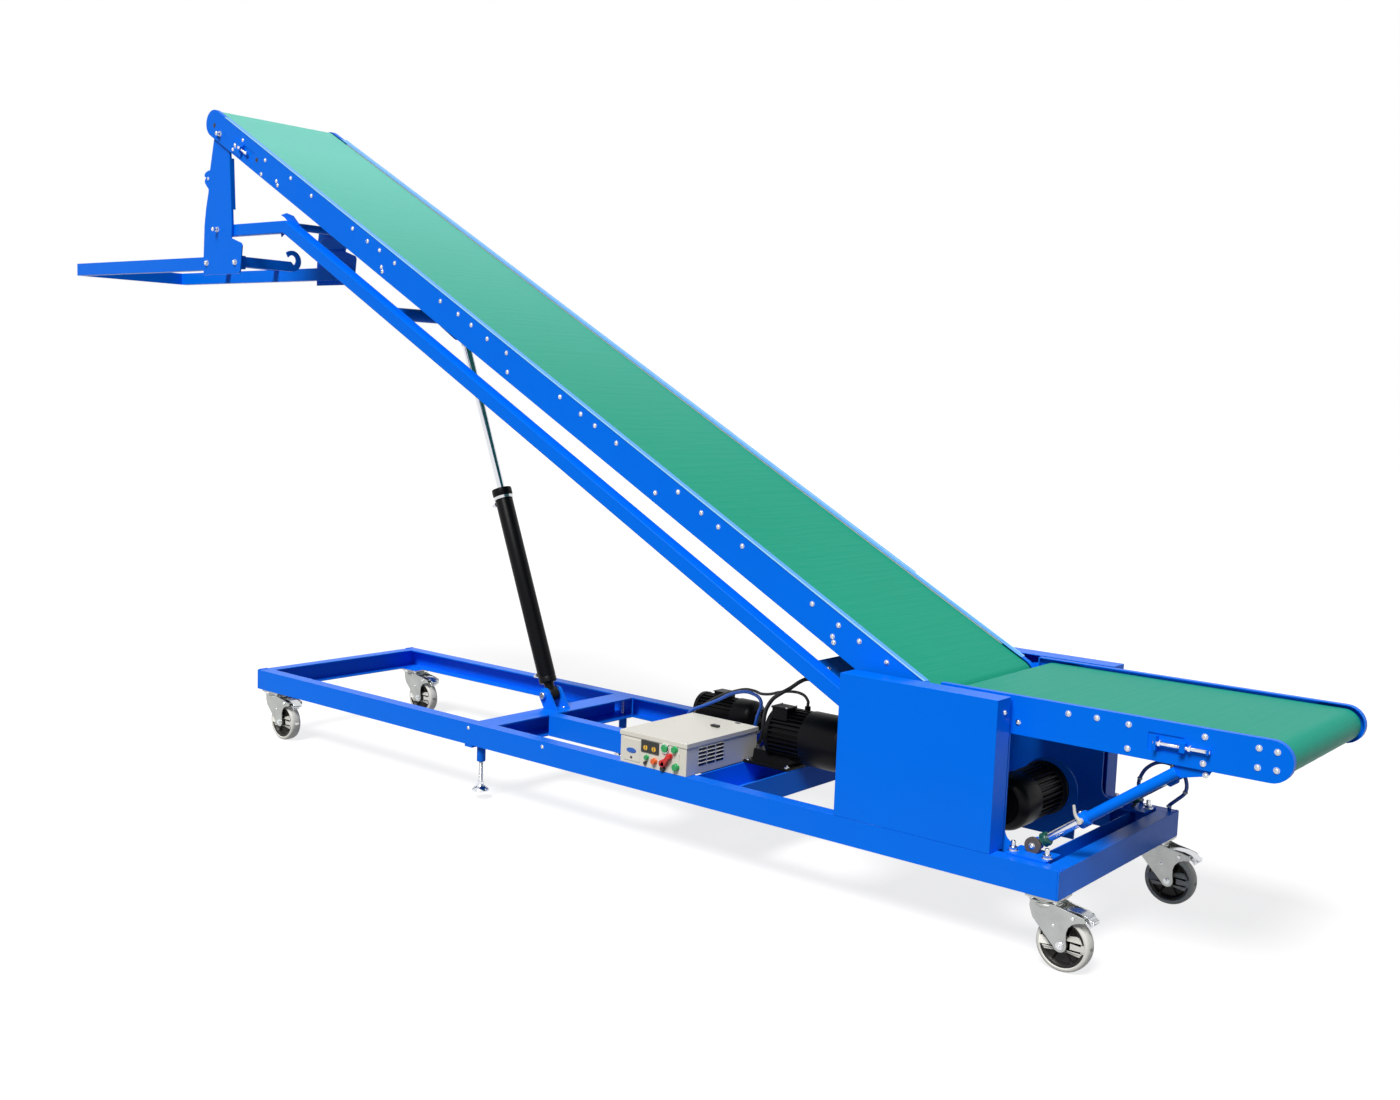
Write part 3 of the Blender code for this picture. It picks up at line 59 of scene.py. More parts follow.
# The camera stands at eye height off the near infeed corner and looks along the whole machine.
# Positions in this file are metres from the middle of the base frame. MIDDLE takes them to the
# place of the whole machine, whose boom reaches further one way than the infeed does the other.
MIDDLE = np.array([0.5640020305, 0.0, 0.0])
EYE = MIDDLE + (3.41749, -3.94218, 1.50533)
VIEW_RIGHT = (0.77305526, 0.63327202, 0.03677116)
VIEW_UP = (-0.09650363, 0.06011622, 0.99351552)
VIEW_FORWARD = (-0.62695504, 0.77159095, -0.10758621)

lens = bpy.data.cameras.new("eye")
lens.sensor_fit = "HORIZONTAL"
lens.sensor_width = 36.0
lens.lens = 37.628
lens.clip_end = 200.0
camera = bpy.data.objects.new("eye", lens)
bpy.context.scene.collection.objects.link(camera)
turn = Matrix([VIEW_RIGHT, VIEW_UP, [-part for part in VIEW_FORWARD]]).transposed()
camera.matrix_world = Matrix.Translation(EYE.tolist()) @ turn.to_4x4()
bpy.context.scene.camera = camera


# Cables and hoses: a black rubber lead from the control box to the tower channel, a thinner one
# that loops over to the boom motor, and two blue hoses. Each is one tube of its real length that
# leaves its socket straight and bends under its own weight.
def linear(red, green, blue):
    """A colour written as screen values from 0 to 255, as the shader's own numbers."""
    part = np.array([red, green, blue]) / 255
    return (*np.where(part <= 0.04045, part / 12.92, ((part + 0.055) / 1.055) ** 2.4).tolist(), 1.0)


def add_node(tree, kind, values=None, **settings):
    """One shader node: its settings first, then each input by name, joined where it is given a socket."""
    made = tree.nodes.new("ShaderNode" + kind)
    for name, value in settings.items():
        setattr(made, name, value)
    for name, value in (values or {}).items():
        if isinstance(value, bpy.types.NodeSocket):
            tree.links.new(value, made.inputs[name])
        else:
            made.inputs[name].default_value = value
    return made


def make_surface_drift():
    """Shader group: a slow drift of tone, a fine grain, and a haze of dust that thins out with height."""
    group = bpy.data.node_groups.new("surface_drift", "ShaderNodeTree")
    for name, value in (("Drift Size", 3.0), ("Grain Size", 600.0)):
        socket = group.interface.new_socket(name, in_out="INPUT", socket_type="NodeSocketFloat")
        socket.default_value = value
    for name in ("Drift", "Grain", "Dust"):
        group.interface.new_socket(name, in_out="OUTPUT", socket_type="NodeSocketFloat")
    given = group.nodes.new("NodeGroupInput").outputs
    answer = group.nodes.new("NodeGroupOutput").inputs
    place = add_node(group, "TexCoord").outputs["Object"]
    tones = {}
    for name, detail in (("Drift", 3.0), ("Grain", 2.0)):
        noise = add_node(group, "TexNoise", {"Vector": place, "Scale": given[f"{name} Size"],
                                             "Detail": detail})
        tones[name] = noise.outputs["Fac"]
    height = add_node(group, "SeparateXYZ", {"Vector": place}).outputs["Z"]
    fade = add_node(group, "MapRange", {"Value": height, "From Max": 0.5, "To Min": 1.0, "To Max": 0.0})
    haze = add_node(group, "Math", {0: fade.outputs["Result"], 1: tones["Drift"]}, operation="MULTIPLY")
    tones["Dust"] = haze.outputs["Value"]
    for name, value in tones.items():
        group.links.new(value, answer[name])
    return group


SURFACE_DRIFT = make_surface_drift()
DUST = linear(176, 168, 154)


def finish(name, colour, shade, gloss, metallic=0.0, grain=600.0, relief=0.0002, strength=0.25,
           dust=0.06, drift=3.0, specular=0.5):
    """A finish whose colour drifts between two tones, whose roughness lies in a range and follows its
    grain, and which is a little dusty near the floor."""
    made = bpy.data.materials.new(name)
    made.use_nodes = True
    tree = made.node_tree
    vary = add_node(tree, "Group", {"Drift Size": drift, "Grain Size": grain},
                    node_tree=SURFACE_DRIFT).outputs
    tone = add_node(tree, "Mix", {"Factor": vary["Drift"], "A": linear(*colour), "B": linear(*shade)},
                    data_type="RGBA")
    amount = add_node(tree, "Math", {0: vary["Dust"], 1: dust}, operation="MULTIPLY")
    dusty = add_node(tree, "Mix", {"Factor": amount.outputs["Value"], "A": tone.outputs["Result"],
                                   "B": DUST}, data_type="RGBA")
    sheen = add_node(tree, "MapRange", {"Value": vary["Grain"], "From Min": 0.3, "From Max": 0.7,
                                        "To Min": gloss[0], "To Max": gloss[1]})
    bump = add_node(tree, "Bump", {"Height": vary["Grain"], "Strength": strength, "Distance": relief})
    surface = tree.nodes["Principled BSDF"].inputs
    surface["Metallic"].default_value = metallic
    surface["Specular IOR Level"].default_value = specular
    tree.links.new(dusty.outputs["Result"], surface["Base Color"])
    tree.links.new(sheen.outputs["Result"], surface["Roughness"])
    tree.links.new(bump.outputs["Normal"], surface["Normal"])
    return made


def grid_faces(rows, columns, rows_close=False, columns_close=True):
    """Four-sided faces of a grid of points in rows. A direction that closes joins its last line to its
    first."""
    row, column = np.meshgrid(np.arange(rows if rows_close else rows - 1),
                              np.arange(columns if columns_close else columns - 1), indexing="ij")
    below, beside = (row + 1) % rows, (column + 1) % columns
    corners = [row * columns + column, row * columns + beside,
               below * columns + beside, below * columns + column]
    return np.stack(corners, -1).reshape(-1, 4).tolist()


def swept(path, radii, sides=12):
    """Round tube along a path: centre(s) + radius(s) * (cos t * side(s) + sin t * up(s)). side(s) is the
    side before it, less what points along the path there."""
    path = np.asarray(path, float)
    ahead = np.gradient(path, axis=0)
    ahead /= np.linalg.norm(ahead, axis=1, keepdims=True)
    start = np.cross(ahead[0], (0.31, 0.52, 0.79))
    side = [start / np.linalg.norm(start)]
    for direction in ahead[1:]:
        kept = side[-1] - direction * (side[-1] @ direction)
        side.append(kept / np.linalg.norm(kept))
    side = np.array(side)
    up = np.cross(ahead, side)
    around = np.linspace(0, 2 * pi, sides, endpoint=False)
    radii = np.broadcast_to(np.asarray(radii, float), (len(path),))
    ring = np.cos(around)[None, :, None] * side[:, None] + np.sin(around)[None, :, None] * up[:, None]
    points = (path[:, None] + radii[:, None, None] * ring).reshape(-1, 3)
    faces = grid_faces(len(path), sides)
    faces.append(list(range(sides))[::-1])
    faces.append(list(range(len(points) - sides, len(points))))
    return points, faces


def dressed(name, shape, made_of, body, stands_for, edge, crease=38):
    """An object from a bmesh shape, with its normals outwards, its finish, its edges rounded by a small
    radius where one is given, the body that it rides and the nodes that it stands for."""
    bmesh.ops.recalc_face_normals(shape, faces=shape.faces[:])
    mesh = bpy.data.meshes.new(name)
    shape.to_mesh(mesh)
    shape.free()
    mesh.materials.append(made_of)
    mesh.shade_smooth()
    mesh.set_sharp_from_angle(angle=radians(crease))
    made = bpy.data.objects.new(name, mesh)
    bpy.context.scene.collection.objects.link(made)
    if edge:
        rounding = made.modifiers.new("rounded edges", "BEVEL")
        rounding.width = edge
        rounding.segments = 2
        rounding.limit_method = "ANGLE"
        rounding.angle_limit = radians(crease)
        rounding.harden_normals = True
    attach(made, body)
    if stands_for:
        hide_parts(*stands_for)
    return made


def piece(name, parts, made_of, body, stands_for=(), edge=0.0, crease=38):
    """One object from parts, each a set of points and faces."""
    shape = bmesh.new()
    for points, faces in parts:
        corners = [shape.verts.new(point) for point in np.asarray(points) + MIDDLE]
        for face in faces:
            shape.faces.new([corners[index] for index in face])
    bmesh.ops.remove_doubles(shape, verts=shape.verts[:], dist=0.00001)
    return dressed(name, shape, made_of, body, stands_for, edge, crease)


def smooth_route(points, steps=8):
    """Catmull-Rom curve through points: between each pair, a cubic in t whose slopes come from the
    neighbours of the pair."""
    points = np.array(points, float)
    stops = np.vstack([2 * points[0] - points[1], points, 2 * points[-1] - points[-2]])
    t = np.linspace(0, 1, steps, endpoint=False)[None, :, None]
    a, b, c, d = (stops[first:len(stops) - 3 + first][:, None] for first in range(4))
    curve = 0.5 * (2 * b + (c - a) * t + (2 * a - 5 * b + 4 * c - d) * t ** 2
                   + (3 * b - a - 3 * c + d) * t ** 3)
    return np.vstack([curve.reshape(-1, 3), points[-1]])


def lead(point, direction):
    """Three points in line, 8 mm apart, where a cord leaves its socket straight."""
    return [np.array(point) + np.array(direction) * 0.008 * step for step in range(3)]


def make_cord(name, points, radius, made_of):
    """A cord of one radius along a smooth route, which it gives back."""
    route = smooth_route(points)
    cord = piece(name + "_cord", [swept(route, radius, 14)], made_of, "base", [name])
    return route


ALONG_X, BACK, UP = (1, 0, 0), (0, 1, 0), (0, 0, 1)
LEFT, TOWARDS_NEAR = (-1, 0, 0), (0, -1, 0)
GLAND_Y = -0.0277       # where the cords leave the glands in the back of the control box
GLAND_Z = 0.318
FRAME_FACE = 0.2803     # just above the top of the base frame
BLACK_RUBBER = finish("black_rubber", (30, 31, 33), (20, 21, 23), (0.42, 0.6), grain=420)
BLUE_TUBING = finish("blue_tubing", (26, 92, 196), (18, 74, 168), (0.28, 0.4), grain=260)
make_cord("power_cable", [
    *lead((0.508, GLAND_Y, GLAND_Z), BACK), (0.520, -0.006, 0.344), (0.531, -0.014, 0.376),
    (0.535, -0.018, 0.412), (0.545, -0.020, 0.449), (0.567, -0.020, 0.484), (0.594, -0.016, 0.507),
    (0.619, 0.010, 0.528), (0.640, 0.035, 0.550), (0.658, 0.056, 0.559), (0.684, 0.071, 0.549),
    (0.720, 0.079, 0.527), (0.760, 0.080, 0.503), (0.805, 0.078, 0.480), (0.870, 0.070, 0.452),
    (0.955, 0.055, 0.421), (1.050, 0.040, 0.382), (1.140, 0.028, 0.334), (1.220, 0.021, 0.288),
    (1.285, 0.020, 0.259), *lead((1.3447, 0.020, 0.250), LEFT)[::-1],
], 0.007, BLACK_RUBBER)
make_cord("loop_cable", [
    *lead((0.262, GLAND_Y, GLAND_Z), BACK), (0.242, 0.000, 0.326), (0.212, 0.010, 0.352),
    (0.198, 0.030, 0.378), (0.222, 0.050, 0.401), (0.262, 0.062, 0.430), (0.313, 0.070, 0.455),
    (0.371, 0.080, 0.475), (0.416, 0.080, 0.477), (0.454, 0.070, 0.474), (0.504, 0.055, 0.483),
    (0.548, 0.040, 0.498), (0.598, 0.026, 0.511), (0.650, 0.010, 0.518), (0.683, 0.003, 0.513),
    *lead((0.700, 0.0, 0.4813), UP)[::-1],
], 0.005, BLACK_RUBBER)
make_cord("pump_hose", [
    *lead((0.470, GLAND_Y, GLAND_Z), BACK), (0.474, 0.000, 0.340), (0.482, 0.003, 0.370),
    (0.490, 0.004, 0.410), (0.505, 0.004, 0.452), (0.494, 0.004, 0.476), (0.463, 0.004, 0.486),
    (0.428, 0.004, 0.486), (0.375, 0.004, 0.470), (0.321, 0.004, 0.441), (0.262, -0.002, 0.411),
    (0.224, -0.006, 0.394), (0.196, -0.008, 0.372), (0.188, -0.008, 0.338),
    *lead((0.195, -0.008, FRAME_FACE), UP)[::-1],
], 0.006, BLUE_TUBING)
RAIL_LOOP = [(1.812, 0.318), (1.834, 0.342), (1.838, 0.370), (1.826, 0.400), (1.796, 0.421),
             (1.749, 0.423), (1.709, 0.396), (1.689, 0.356), (1.690, 0.325)]
rail_loop_route = make_cord("rail_hose", [
    *lead((1.790, 0.393, FRAME_FACE), UP), *((x, 0.393, z) for x, z in RAIL_LOOP),
    *lead((1.700, 0.393, FRAME_FACE), UP)[::-1],
], 0.006, BLUE_TUBING)


# Base frame: rolled channel iron, sprayed bright blue and baked. Rolled corners are rounded, so
# each piece takes the fabricated shape and gets a small radius on its edges. The towers stay nearly
# sharp, because their pivot pins turn in the boom's sides.
def softened(node, edge):
    """The fabricated shape of a node, its triangles merged into flat faces and its edges rounded."""
    source = frame["nodes"][node]
    shape = bmesh.new()
    shape.from_mesh(source.data)
    bmesh.ops.remove_doubles(shape, verts=shape.verts[:], dist=0.00002)
    bmesh.ops.dissolve_limit(shape, angle_limit=radians(0.5), verts=shape.verts[:],
                             edges=shape.edges[:])
    dressed(node + "_dressed", shape, BLUE_PAINT, source["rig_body"], [node], edge)


BLUE_PAINT = finish("blue_powder_coat", (0, 119, 252), (0, 112, 244), (0.26, 0.36),
                    grain=380, relief=0.0003, strength=0.12, dust=0.03, specular=0.06)
for edge, members in (
        (0.0012, ("rail_near", "rail_far", "end_channel_infeed", "end_channel_head",
                  "cross_channel_cylinder", "cross_channel_pump", "cross_channel_motor",
                  "cross_channel_tower", "sub_beam")),
        (0.0002, ("tower_near", "tower_far")),
        (0.0014, ("cover_near", "cover_far", "boom_side_near", "boom_side_far",
                  "infeed_side_near", "infeed_side_far")),
        (0.0008, ("link_foot_plate", "link_cylinder_tube", "brace_foot_near", "brace_foot_far"))):
    for node in members:
        softened(node, edge)


def turned(profile, start, direction, sides=24):
    """Surface of revolution: start + height(s) * direction + radius(s) * (cos t * u + sin t * v), for a
    profile of (radius, height). A profile that stops off its axis is closed by a flat end."""
    profile = np.array(profile, float)
    axis = np.array(direction, float)
    axis /= np.linalg.norm(axis)
    u = np.cross(axis, (0.0, 1.0, 0.0) if abs(axis[1]) < 0.9 else (1.0, 0.0, 0.0))
    u /= np.linalg.norm(u)
    v = np.cross(axis, u)
    around = np.linspace(0, 2 * pi, sides, endpoint=False)
    ring = np.cos(around)[:, None] * u + np.sin(around)[:, None] * v
    points = np.array(start) + profile[:, 1, None, None] * axis + profile[:, 0, None, None] * ring
    faces = grid_faces(len(profile), sides)
    if profile[0, 0] > 0:
        faces.append(list(range(sides)))
    if profile[-1, 0] > 0:
        faces.append(list(range((len(profile) - 1) * sides, len(profile) * sides)))
    return drop_flat(points.reshape(-1, 3), faces)


def drop_flat(points, faces):
    """The same part with the corners that meet at a pole made one, so that no face is left without area."""
    keys = np.round(points, 6)
    _, first, same = np.unique(keys, axis=0, return_index=True, return_inverse=True)
    same = same.ravel()
    kept = []
    for face in faces:
        corners = []
        for index in face:
            corner = int(same[index])
            if corner not in corners:
                corners.append(corner)
        if len(corners) > 2:
            kept.append(corners)
    return points[first], kept


def plate(outline, low, high, plane="XZ"):
    """A flat outline given a thickness: one copy of it at each level and a wall between them."""
    outline = np.array(outline, float)
    columns = {"XZ": (0, 2, 1), "YZ": (1, 2, 0), "XY": (0, 1, 2)}[plane]
    points = np.zeros((2, len(outline), 3))
    points[:, :, columns[0]] = outline[:, 0]
    points[:, :, columns[1]] = outline[:, 1]
    points[:, :, columns[2]] = np.array([low, high])[:, None]
    count = len(outline)
    faces = grid_faces(2, count)
    faces.append(list(range(count)))
    faces.append(list(range(count, 2 * count)))
    return points.reshape(-1, 3), faces


def block(low, high):
    """A box between two corners."""
    return plate([(low[0], low[1]), (high[0], low[1]), (high[0], high[1]), (low[0], high[1])],
                 low[2], high[2], "XY")


def pin(radius, low, high, place, direction, sides=24):
    """A plain round bar: one radius from low to high along its line."""
    return turned([(0, low), (radius, low), (radius, high), (0, high)], place, direction, sides)


def arc(centre, radius, first, last, steps):
    """Points on an arc: centre + radius * (cos a, sin a), with a in degrees."""
    angles = np.radians(np.linspace(first, last, steps + 1))
    return np.column_stack([centre[0] + radius * np.cos(angles),
                            centre[1] + radius * np.sin(angles)]).tolist()


BOLT_PROFILE = np.array([(0, 0.16), (0.34, 0.16), (0.40, 0.66), (0.62, 0.60), (0.80, 0.42),
                         (0.88, 0.18), (1.06, 0.15), (1.08, -0.03), (0, -0.03)])


def bolt_head(place, direction, size=0.0078):
    """A button head on a washer, with a socket sunk into its crown: the bolt profile, scaled and turned."""
    return turned(BOLT_PROFILE * size, place, direction, 12)


def hex_nut(place, direction, size=0.008, height=0.006):
    """Six-sided nut on a washer, its outer corners chamfered, with the end of its stud."""
    nut = turned([(size * 0.80, height), (size, height - 0.001), (size, 0.0012), (0, 0.0012)], place,
                 direction, 6)
    washer = turned([(size * 1.15, 0.0015), (size * 1.2, 0.0), (0, -0.0003)], place, direction, 16)
    stud = turned([(size * 0.42, height + 0.003), (size * 0.42, 0.001), (0, 0.001)], place, direction, 10)
    return [nut, washer, stud]


BRIGHT_ZINC = finish("bright_zinc", (226, 228, 230), (204, 207, 210), (0.16, 0.28),
                     metallic=1.0, grain=900, dust=0.0)


# Bolts through the base: pairs of button heads that hold the end channel and the covers
FRAME_SIDE = 0.415      # outer face of a rail and its cover, from the middle
base_bolts = [bolt_head((x, side * FRAME_SIDE, 0.262), (0, side, 0), 0.0065)
              for side in (-1, 1) for x in (-0.50, -0.12)]
base_bolts += [bolt_head((1.6055, side * 0.372, 0.668), ALONG_X) for side in (-1, 1)]
piece("base_bolts", base_bolts, BRIGHT_ZINC, "base")


# Weld beads where the cross channels meet the rails: short ridges of overlapping scales, sprayed
# over with the frame.
def weld(start, end, radius=0.0032):
    """Bead from one point to another: radius(s) = r * (0.82 + 0.18 * |sin|) gives it scales 4.5 mm long."""
    start, end = np.array(start), np.array(end)
    length = np.linalg.norm(end - start)
    s = np.linspace(0, 1, max(8, int(length / 0.0013)))
    scales = 0.82 + 0.18 * np.abs(np.sin(s * length / 0.0045 * pi))
    scales[[0, -1]] = 0.3
    return swept(start + s[:, None] * (end - start), radius * scales, 6)


RAIL_INSIDE = 0.365
CHANNEL_EDGES = (-0.500, -0.400, 0.530, 0.710)
beads = []
for side in (-1, 1):
    inner = side * RAIL_INSIDE
    for x in CHANNEL_EDGES:
        beads.append(weld((x, inner, 0.2015), (x, inner, 0.2785)))
    for x in (-1.8075, 1.8075):
        beads.append(weld((x, side * 0.412, 0.281), (x, side * 0.368, 0.281), 0.002))
piece("frame_welds", beads, BLUE_PAINT, "base")


# Casters: a zinc-plated pressed fork under a bolted top plate, a brake pedal behind, and a pale
# polyurethane tyre on a ribbed black hub.
ZINC_PRESSING = finish("zinc_pressing", (192, 194, 190), (158, 161, 160), (0.26, 0.42),
                       metallic=1.0, grain=500, drift=24, dust=0.03)
PALE_TYRE = finish("pale_tyre", (232, 232, 228), (214, 215, 212), (0.5, 0.65), grain=300,
                   drift=14, dust=0.25)
BLACK_NYLON = finish("black_nylon", (18, 18, 20), (11, 11, 13), (0.35, 0.5), grain=700,
                     dust=0.05, specular=0.25)
WHEEL_RADIUS, WHEEL_TRAIL = 0.0775, 0.055
FORK_INNER, FORK_OUTER = 0.0295, 0.0335
PLATE_UNDER = 0.1936
FORK_LEG = [(-0.038, 0.184), (-0.037, 0.160), (-0.028, 0.136)]
FORK_LEG += arc((WHEEL_TRAIL, WHEEL_RADIUS), 0.0185, 208, 372, 14)
FORK_LEG += [(0.071, 0.100), (0.071, 0.116), (0.076, 0.131), (0.087, 0.143), (0.103, 0.150),
             (0.119, 0.153), (0.123, 0.158), (0.119, 0.166), (0.095, 0.172), (0.060, 0.178),
             (0.036, 0.184)]
PEDAL = [(0.046, 0.172), (0.078, 0.1745), (0.100, 0.174), (0.120, 0.169), (0.133, 0.160),
         (0.138, 0.151), (0.135, 0.149), (0.129, 0.157), (0.117, 0.1655), (0.099, 0.1705),
         (0.078, 0.171), (0.046, 0.1685)]
RELEASE = [(0.092, 0.158), (0.112, 0.156), (0.126, 0.148), (0.131, 0.139), (0.128, 0.138),
           (0.122, 0.146), (0.110, 0.1525), (0.092, 0.1545)]


def moved(part, shift):
    """The same part at another place."""
    return part[0] + np.array(shift), part[1]


def hub():
    """Wheel centre about Y: height(r, t) runs from a tall boss over a thin web to a rim, with six ribs
    added where the web is thin, and the back mirrors the front."""
    radius = np.array([0.0066, 0.0135, 0.0160, 0.0185, 0.023, 0.030, 0.038, 0.045, 0.0510, 0.0560,
                       0.0590, 0.0640])
    height = np.array([0.0275, 0.0275, 0.025, 0.012, 0.006, 0.0055, 0.0055, 0.006, 0.008, 0.0165,
                       0.0190, 0.0195])
    around = np.linspace(0, 2 * pi, 96, endpoint=False)
    away = np.abs((around * 6 / (2 * pi) + 0.5) % 1 - 0.5) * 2 * pi / 6
    rib = np.exp(-((away[None] * radius[:, None]) / 0.0022) ** 4)
    thin = np.clip((0.017 - height) / 0.010, 0, 1)[:, None]
    front = height[:, None] + thin * rib * 0.0085
    x, z = radius[:, None] * np.cos(around), radius[:, None] * np.sin(around)
    rows = np.concatenate([np.stack([x, -front, z], -1), np.stack([x, front, z], -1)[::-1]])
    return rows.reshape(-1, 3), grid_faces(len(rows), 96, rows_close=True)


def mirrored(half):
    """An outline from its first half, whose second measure changes sign on the way back."""
    return half + [(first, -second) for first, second in reversed(half)]


TYRE_PROFILE = mirrored([(0.0635, -0.0180), (0.0645, -0.0205), (0.0665, -0.0218), (0.0710, -0.0214),
                         (0.0748, -0.0185), (0.0768, -0.0125), (WHEEL_RADIUS, -0.0050)])
CROWN = mirrored([(-0.038, -0.0325), (0.040, -0.0325), (0.062, -0.0325), (0.100, -0.030),
                  (0.118, -0.0325)])
SHOULDER = mirrored([(-0.038, -0.0325), (0.036, -0.0325)])
RACE = [(0, 0.1660), (0.0335, 0.1660), (0.0350, 0.1700), (0.0385, 0.1725), (0.0400, 0.1765),
        (0.0385, 0.1800), (0.0345, 0.1815), (0.0340, 0.1850), (0.0370, 0.1862), (0.0385, 0.1890),
        (0.0370, 0.1918), (0.0320, 0.1930), (0, 0.1930)]


def ring(profile, start, direction, sides):
    """A closed profile turned about an axis that it doesn't touch."""
    points, faces = turned(profile, start, direction, sides)
    faces = faces[:-2]
    rows = len(profile)
    last = [((rows - 1) * sides + index, (rows - 1) * sides + (index + 1) % sides,
             (index + 1) % sides, index) for index in range(sides)]
    return points, faces + last


for end, x in (("infeed", 1.7645), ("head", -1.7325)):
    for side_name, y in (("near", -0.368), ("far", 0.368)):
        name = f"{end}_{side_name}"
        at = (x, y, 0)
        wheel_at = (x + WHEEL_TRAIL, y, WHEEL_RADIUS)
        fork = [moved(plate(FORK_LEG, side * FORK_INNER, side * FORK_OUTER), at) for side in (-1, 1)]
        piece(f"fork_legs_{name}", fork, ZINC_PRESSING, f"caster_fork_{name}",
              [f"caster_fork_{name}"], edge=0.0012)
        crown = [moved(plate(CROWN, 0.1625, 0.1665, "XY"), at), turned(RACE, at, UP, 40),
                 moved(plate(SHOULDER, 0.1665, 0.1815, "XY"), at)]
        piece(f"fork_crown_{name}", crown, ZINC_PRESSING, f"caster_fork_{name}",
              edge=0.0012)
        pedal = [moved(plate(PEDAL, -0.019, 0.019), at), moved(plate(RELEASE, -0.015, 0.015), at)]
        pedal += [moved(plate([(0.128, z), (0.141, z - 0.006), (0.142, z - 0.009), (0.129, z - 0.003)],
                              -0.017, 0.017), at) for z in (0.163, 0.157)]
        pedal.append(pin(0.0050, -0.0370, 0.0370, (x + 0.088, y, 0.160), BACK, 14))
        piece(f"brake_pedal_{name}", pedal, BRIGHT_ZINC, f"caster_fork_{name}",
              edge=0.0006)
        axle = [pin(0.0060, -0.0345, 0.0345, wheel_at, BACK, 16)]
        for side in (-1, 1):
            fork_face = y + side * FORK_OUTER
            axle.extend(hex_nut((wheel_at[0], fork_face, WHEEL_RADIUS), (0, side, 0), 0.0095, 0.006))
            axle.append(bolt_head((x + 0.034, fork_face, 0.128), (0, side, 0), 0.0045))
        piece(f"fork_axle_{name}", axle, BRIGHT_ZINC, f"caster_fork_{name}")
        piece(f"tyre_{name}", [ring(TYRE_PROFILE, wheel_at, BACK, 72)], PALE_TYRE,
              f"caster_wheel_{name}", [f"caster_wheel_{name}"])
        piece(f"hub_{name}", [moved(hub(), wheel_at)], BLACK_NYLON, f"caster_wheel_{name}")
        top_plate = [block((x - 0.0478, y - 0.0456, PLATE_UNDER), (x + 0.0478, y + 0.0456, 0.1999))]
        piece(f"caster_plate_{name}", top_plate, ZINC_PRESSING, "base", edge=0.0015)
        screws = []
        for across_x in (-0.038, 0.038):
            for across_y in (-0.036, 0.036):
                screws.extend(hex_nut((x + across_x, y + across_y, PLATE_UNDER), (0, 0, -1), 0.0068, 0.005))
        piece(f"caster_bolts_{name}", screws, BRIGHT_ZINC, "base")


# Levelling feet: a chromed disc on a screw with a real thread, wound up into a sleeve in the rail
CHROME = finish("chrome", (232, 234, 238), (222, 225, 230), (0.05, 0.10), metallic=1.0,
                grain=300, relief=0.00005, dust=0.0)
SIDES = (("near", -1), ("far", 1))
FOOT_X, FOOT_Y = -0.465, 0.382


def thread(start, length, radius=0.008, pitch=0.0025, depth=0.0011):
    """Screw about Z: radius(t, z) = r - depth * (0.5 - 0.5 * cos(2 pi z / pitch - t)), a ridge that
    climbs one pitch a turn."""
    rows = int(length / pitch * 6)
    z = np.linspace(0, length, rows)
    around = np.linspace(0, 2 * pi, 18, endpoint=False)
    r = radius - depth * (0.5 - 0.5 * np.cos(2 * pi * z[:, None] / pitch - around))
    points = np.stack([r * np.cos(around), r * np.sin(around), np.broadcast_to(z[:, None], r.shape)], -1)
    faces = grid_faces(rows, 18)
    faces.append(list(range(18)))
    faces.append(list(range((rows - 1) * 18, rows * 18)))
    return points.reshape(-1, 3) + np.array(start), faces


for side_name, side in SIDES:
    at = (FOOT_X, side * FOOT_Y, 0.030)
    disc = turned([(0, 0.0008), (0.0290, 0.0), (0.0315, 0.0012), (0.0320, 0.0040), (0.0310, 0.0075),
                   (0.0265, 0.0120), (0.0190, 0.0165), (0.0135, 0.0205), (0.0115, 0.0260), (0, 0.0260)],
                  at, UP, 48)
    lock_nut = turned([(0, 0.0260), (0.0125, 0.0262), (0.0135, 0.0275), (0.0135, 0.0345),
                       (0.0125, 0.0358), (0, 0.0358)], at, UP, 6)
    piece(f"foot_disc_{side_name}", [disc, lock_nut], CHROME, f"levelling_foot_{side_name}",
          [f"levelling_foot_{side_name}"])
    piece(f"foot_screw_{side_name}", [thread((at[0], at[1], 0.055), 0.214)], BRIGHT_ZINC,
          f"levelling_foot_{side_name}")


# Motors: finned black castings with a fan cowl, a flange and a terminal box, bolted to the channels
BLACK_ENAMEL = finish("black_enamel", (12, 13, 16), (7, 8, 10), (0.30, 0.44), grain=520,
                      relief=0.0004, strength=0.2, dust=0.03, specular=0.10)


def finned(start, direction, low, high, radius, fins, depth):
    """Cooling ribs: radius(t) steps between r and r - depth as t goes round, the same from end to end,
    with the ends turned in to the shaft."""
    axis = np.array(direction, float)
    u = np.array([0.0, 0.0, 1.0])
    v = np.cross(axis, u)
    part = np.array([0.00, 0.30, 0.42, 0.88])
    level = np.array([1.0, 1.0, 0.0, 0.0])
    around = ((np.arange(fins)[:, None] + part) * 2 * pi / fins).ravel()
    r = radius - depth * (1 - np.tile(level, fins))
    rib = (np.cos(around)[:, None] * u + np.sin(around)[:, None] * v) * r[:, None]
    ends = [(low, 0.0), (low, 1.0), (high, 1.0), (high, 0.0)]
    points = np.concatenate([np.array(start) + axis * place + rib * out for place, out in ends])
    return drop_flat(points, grid_faces(4, len(around)))


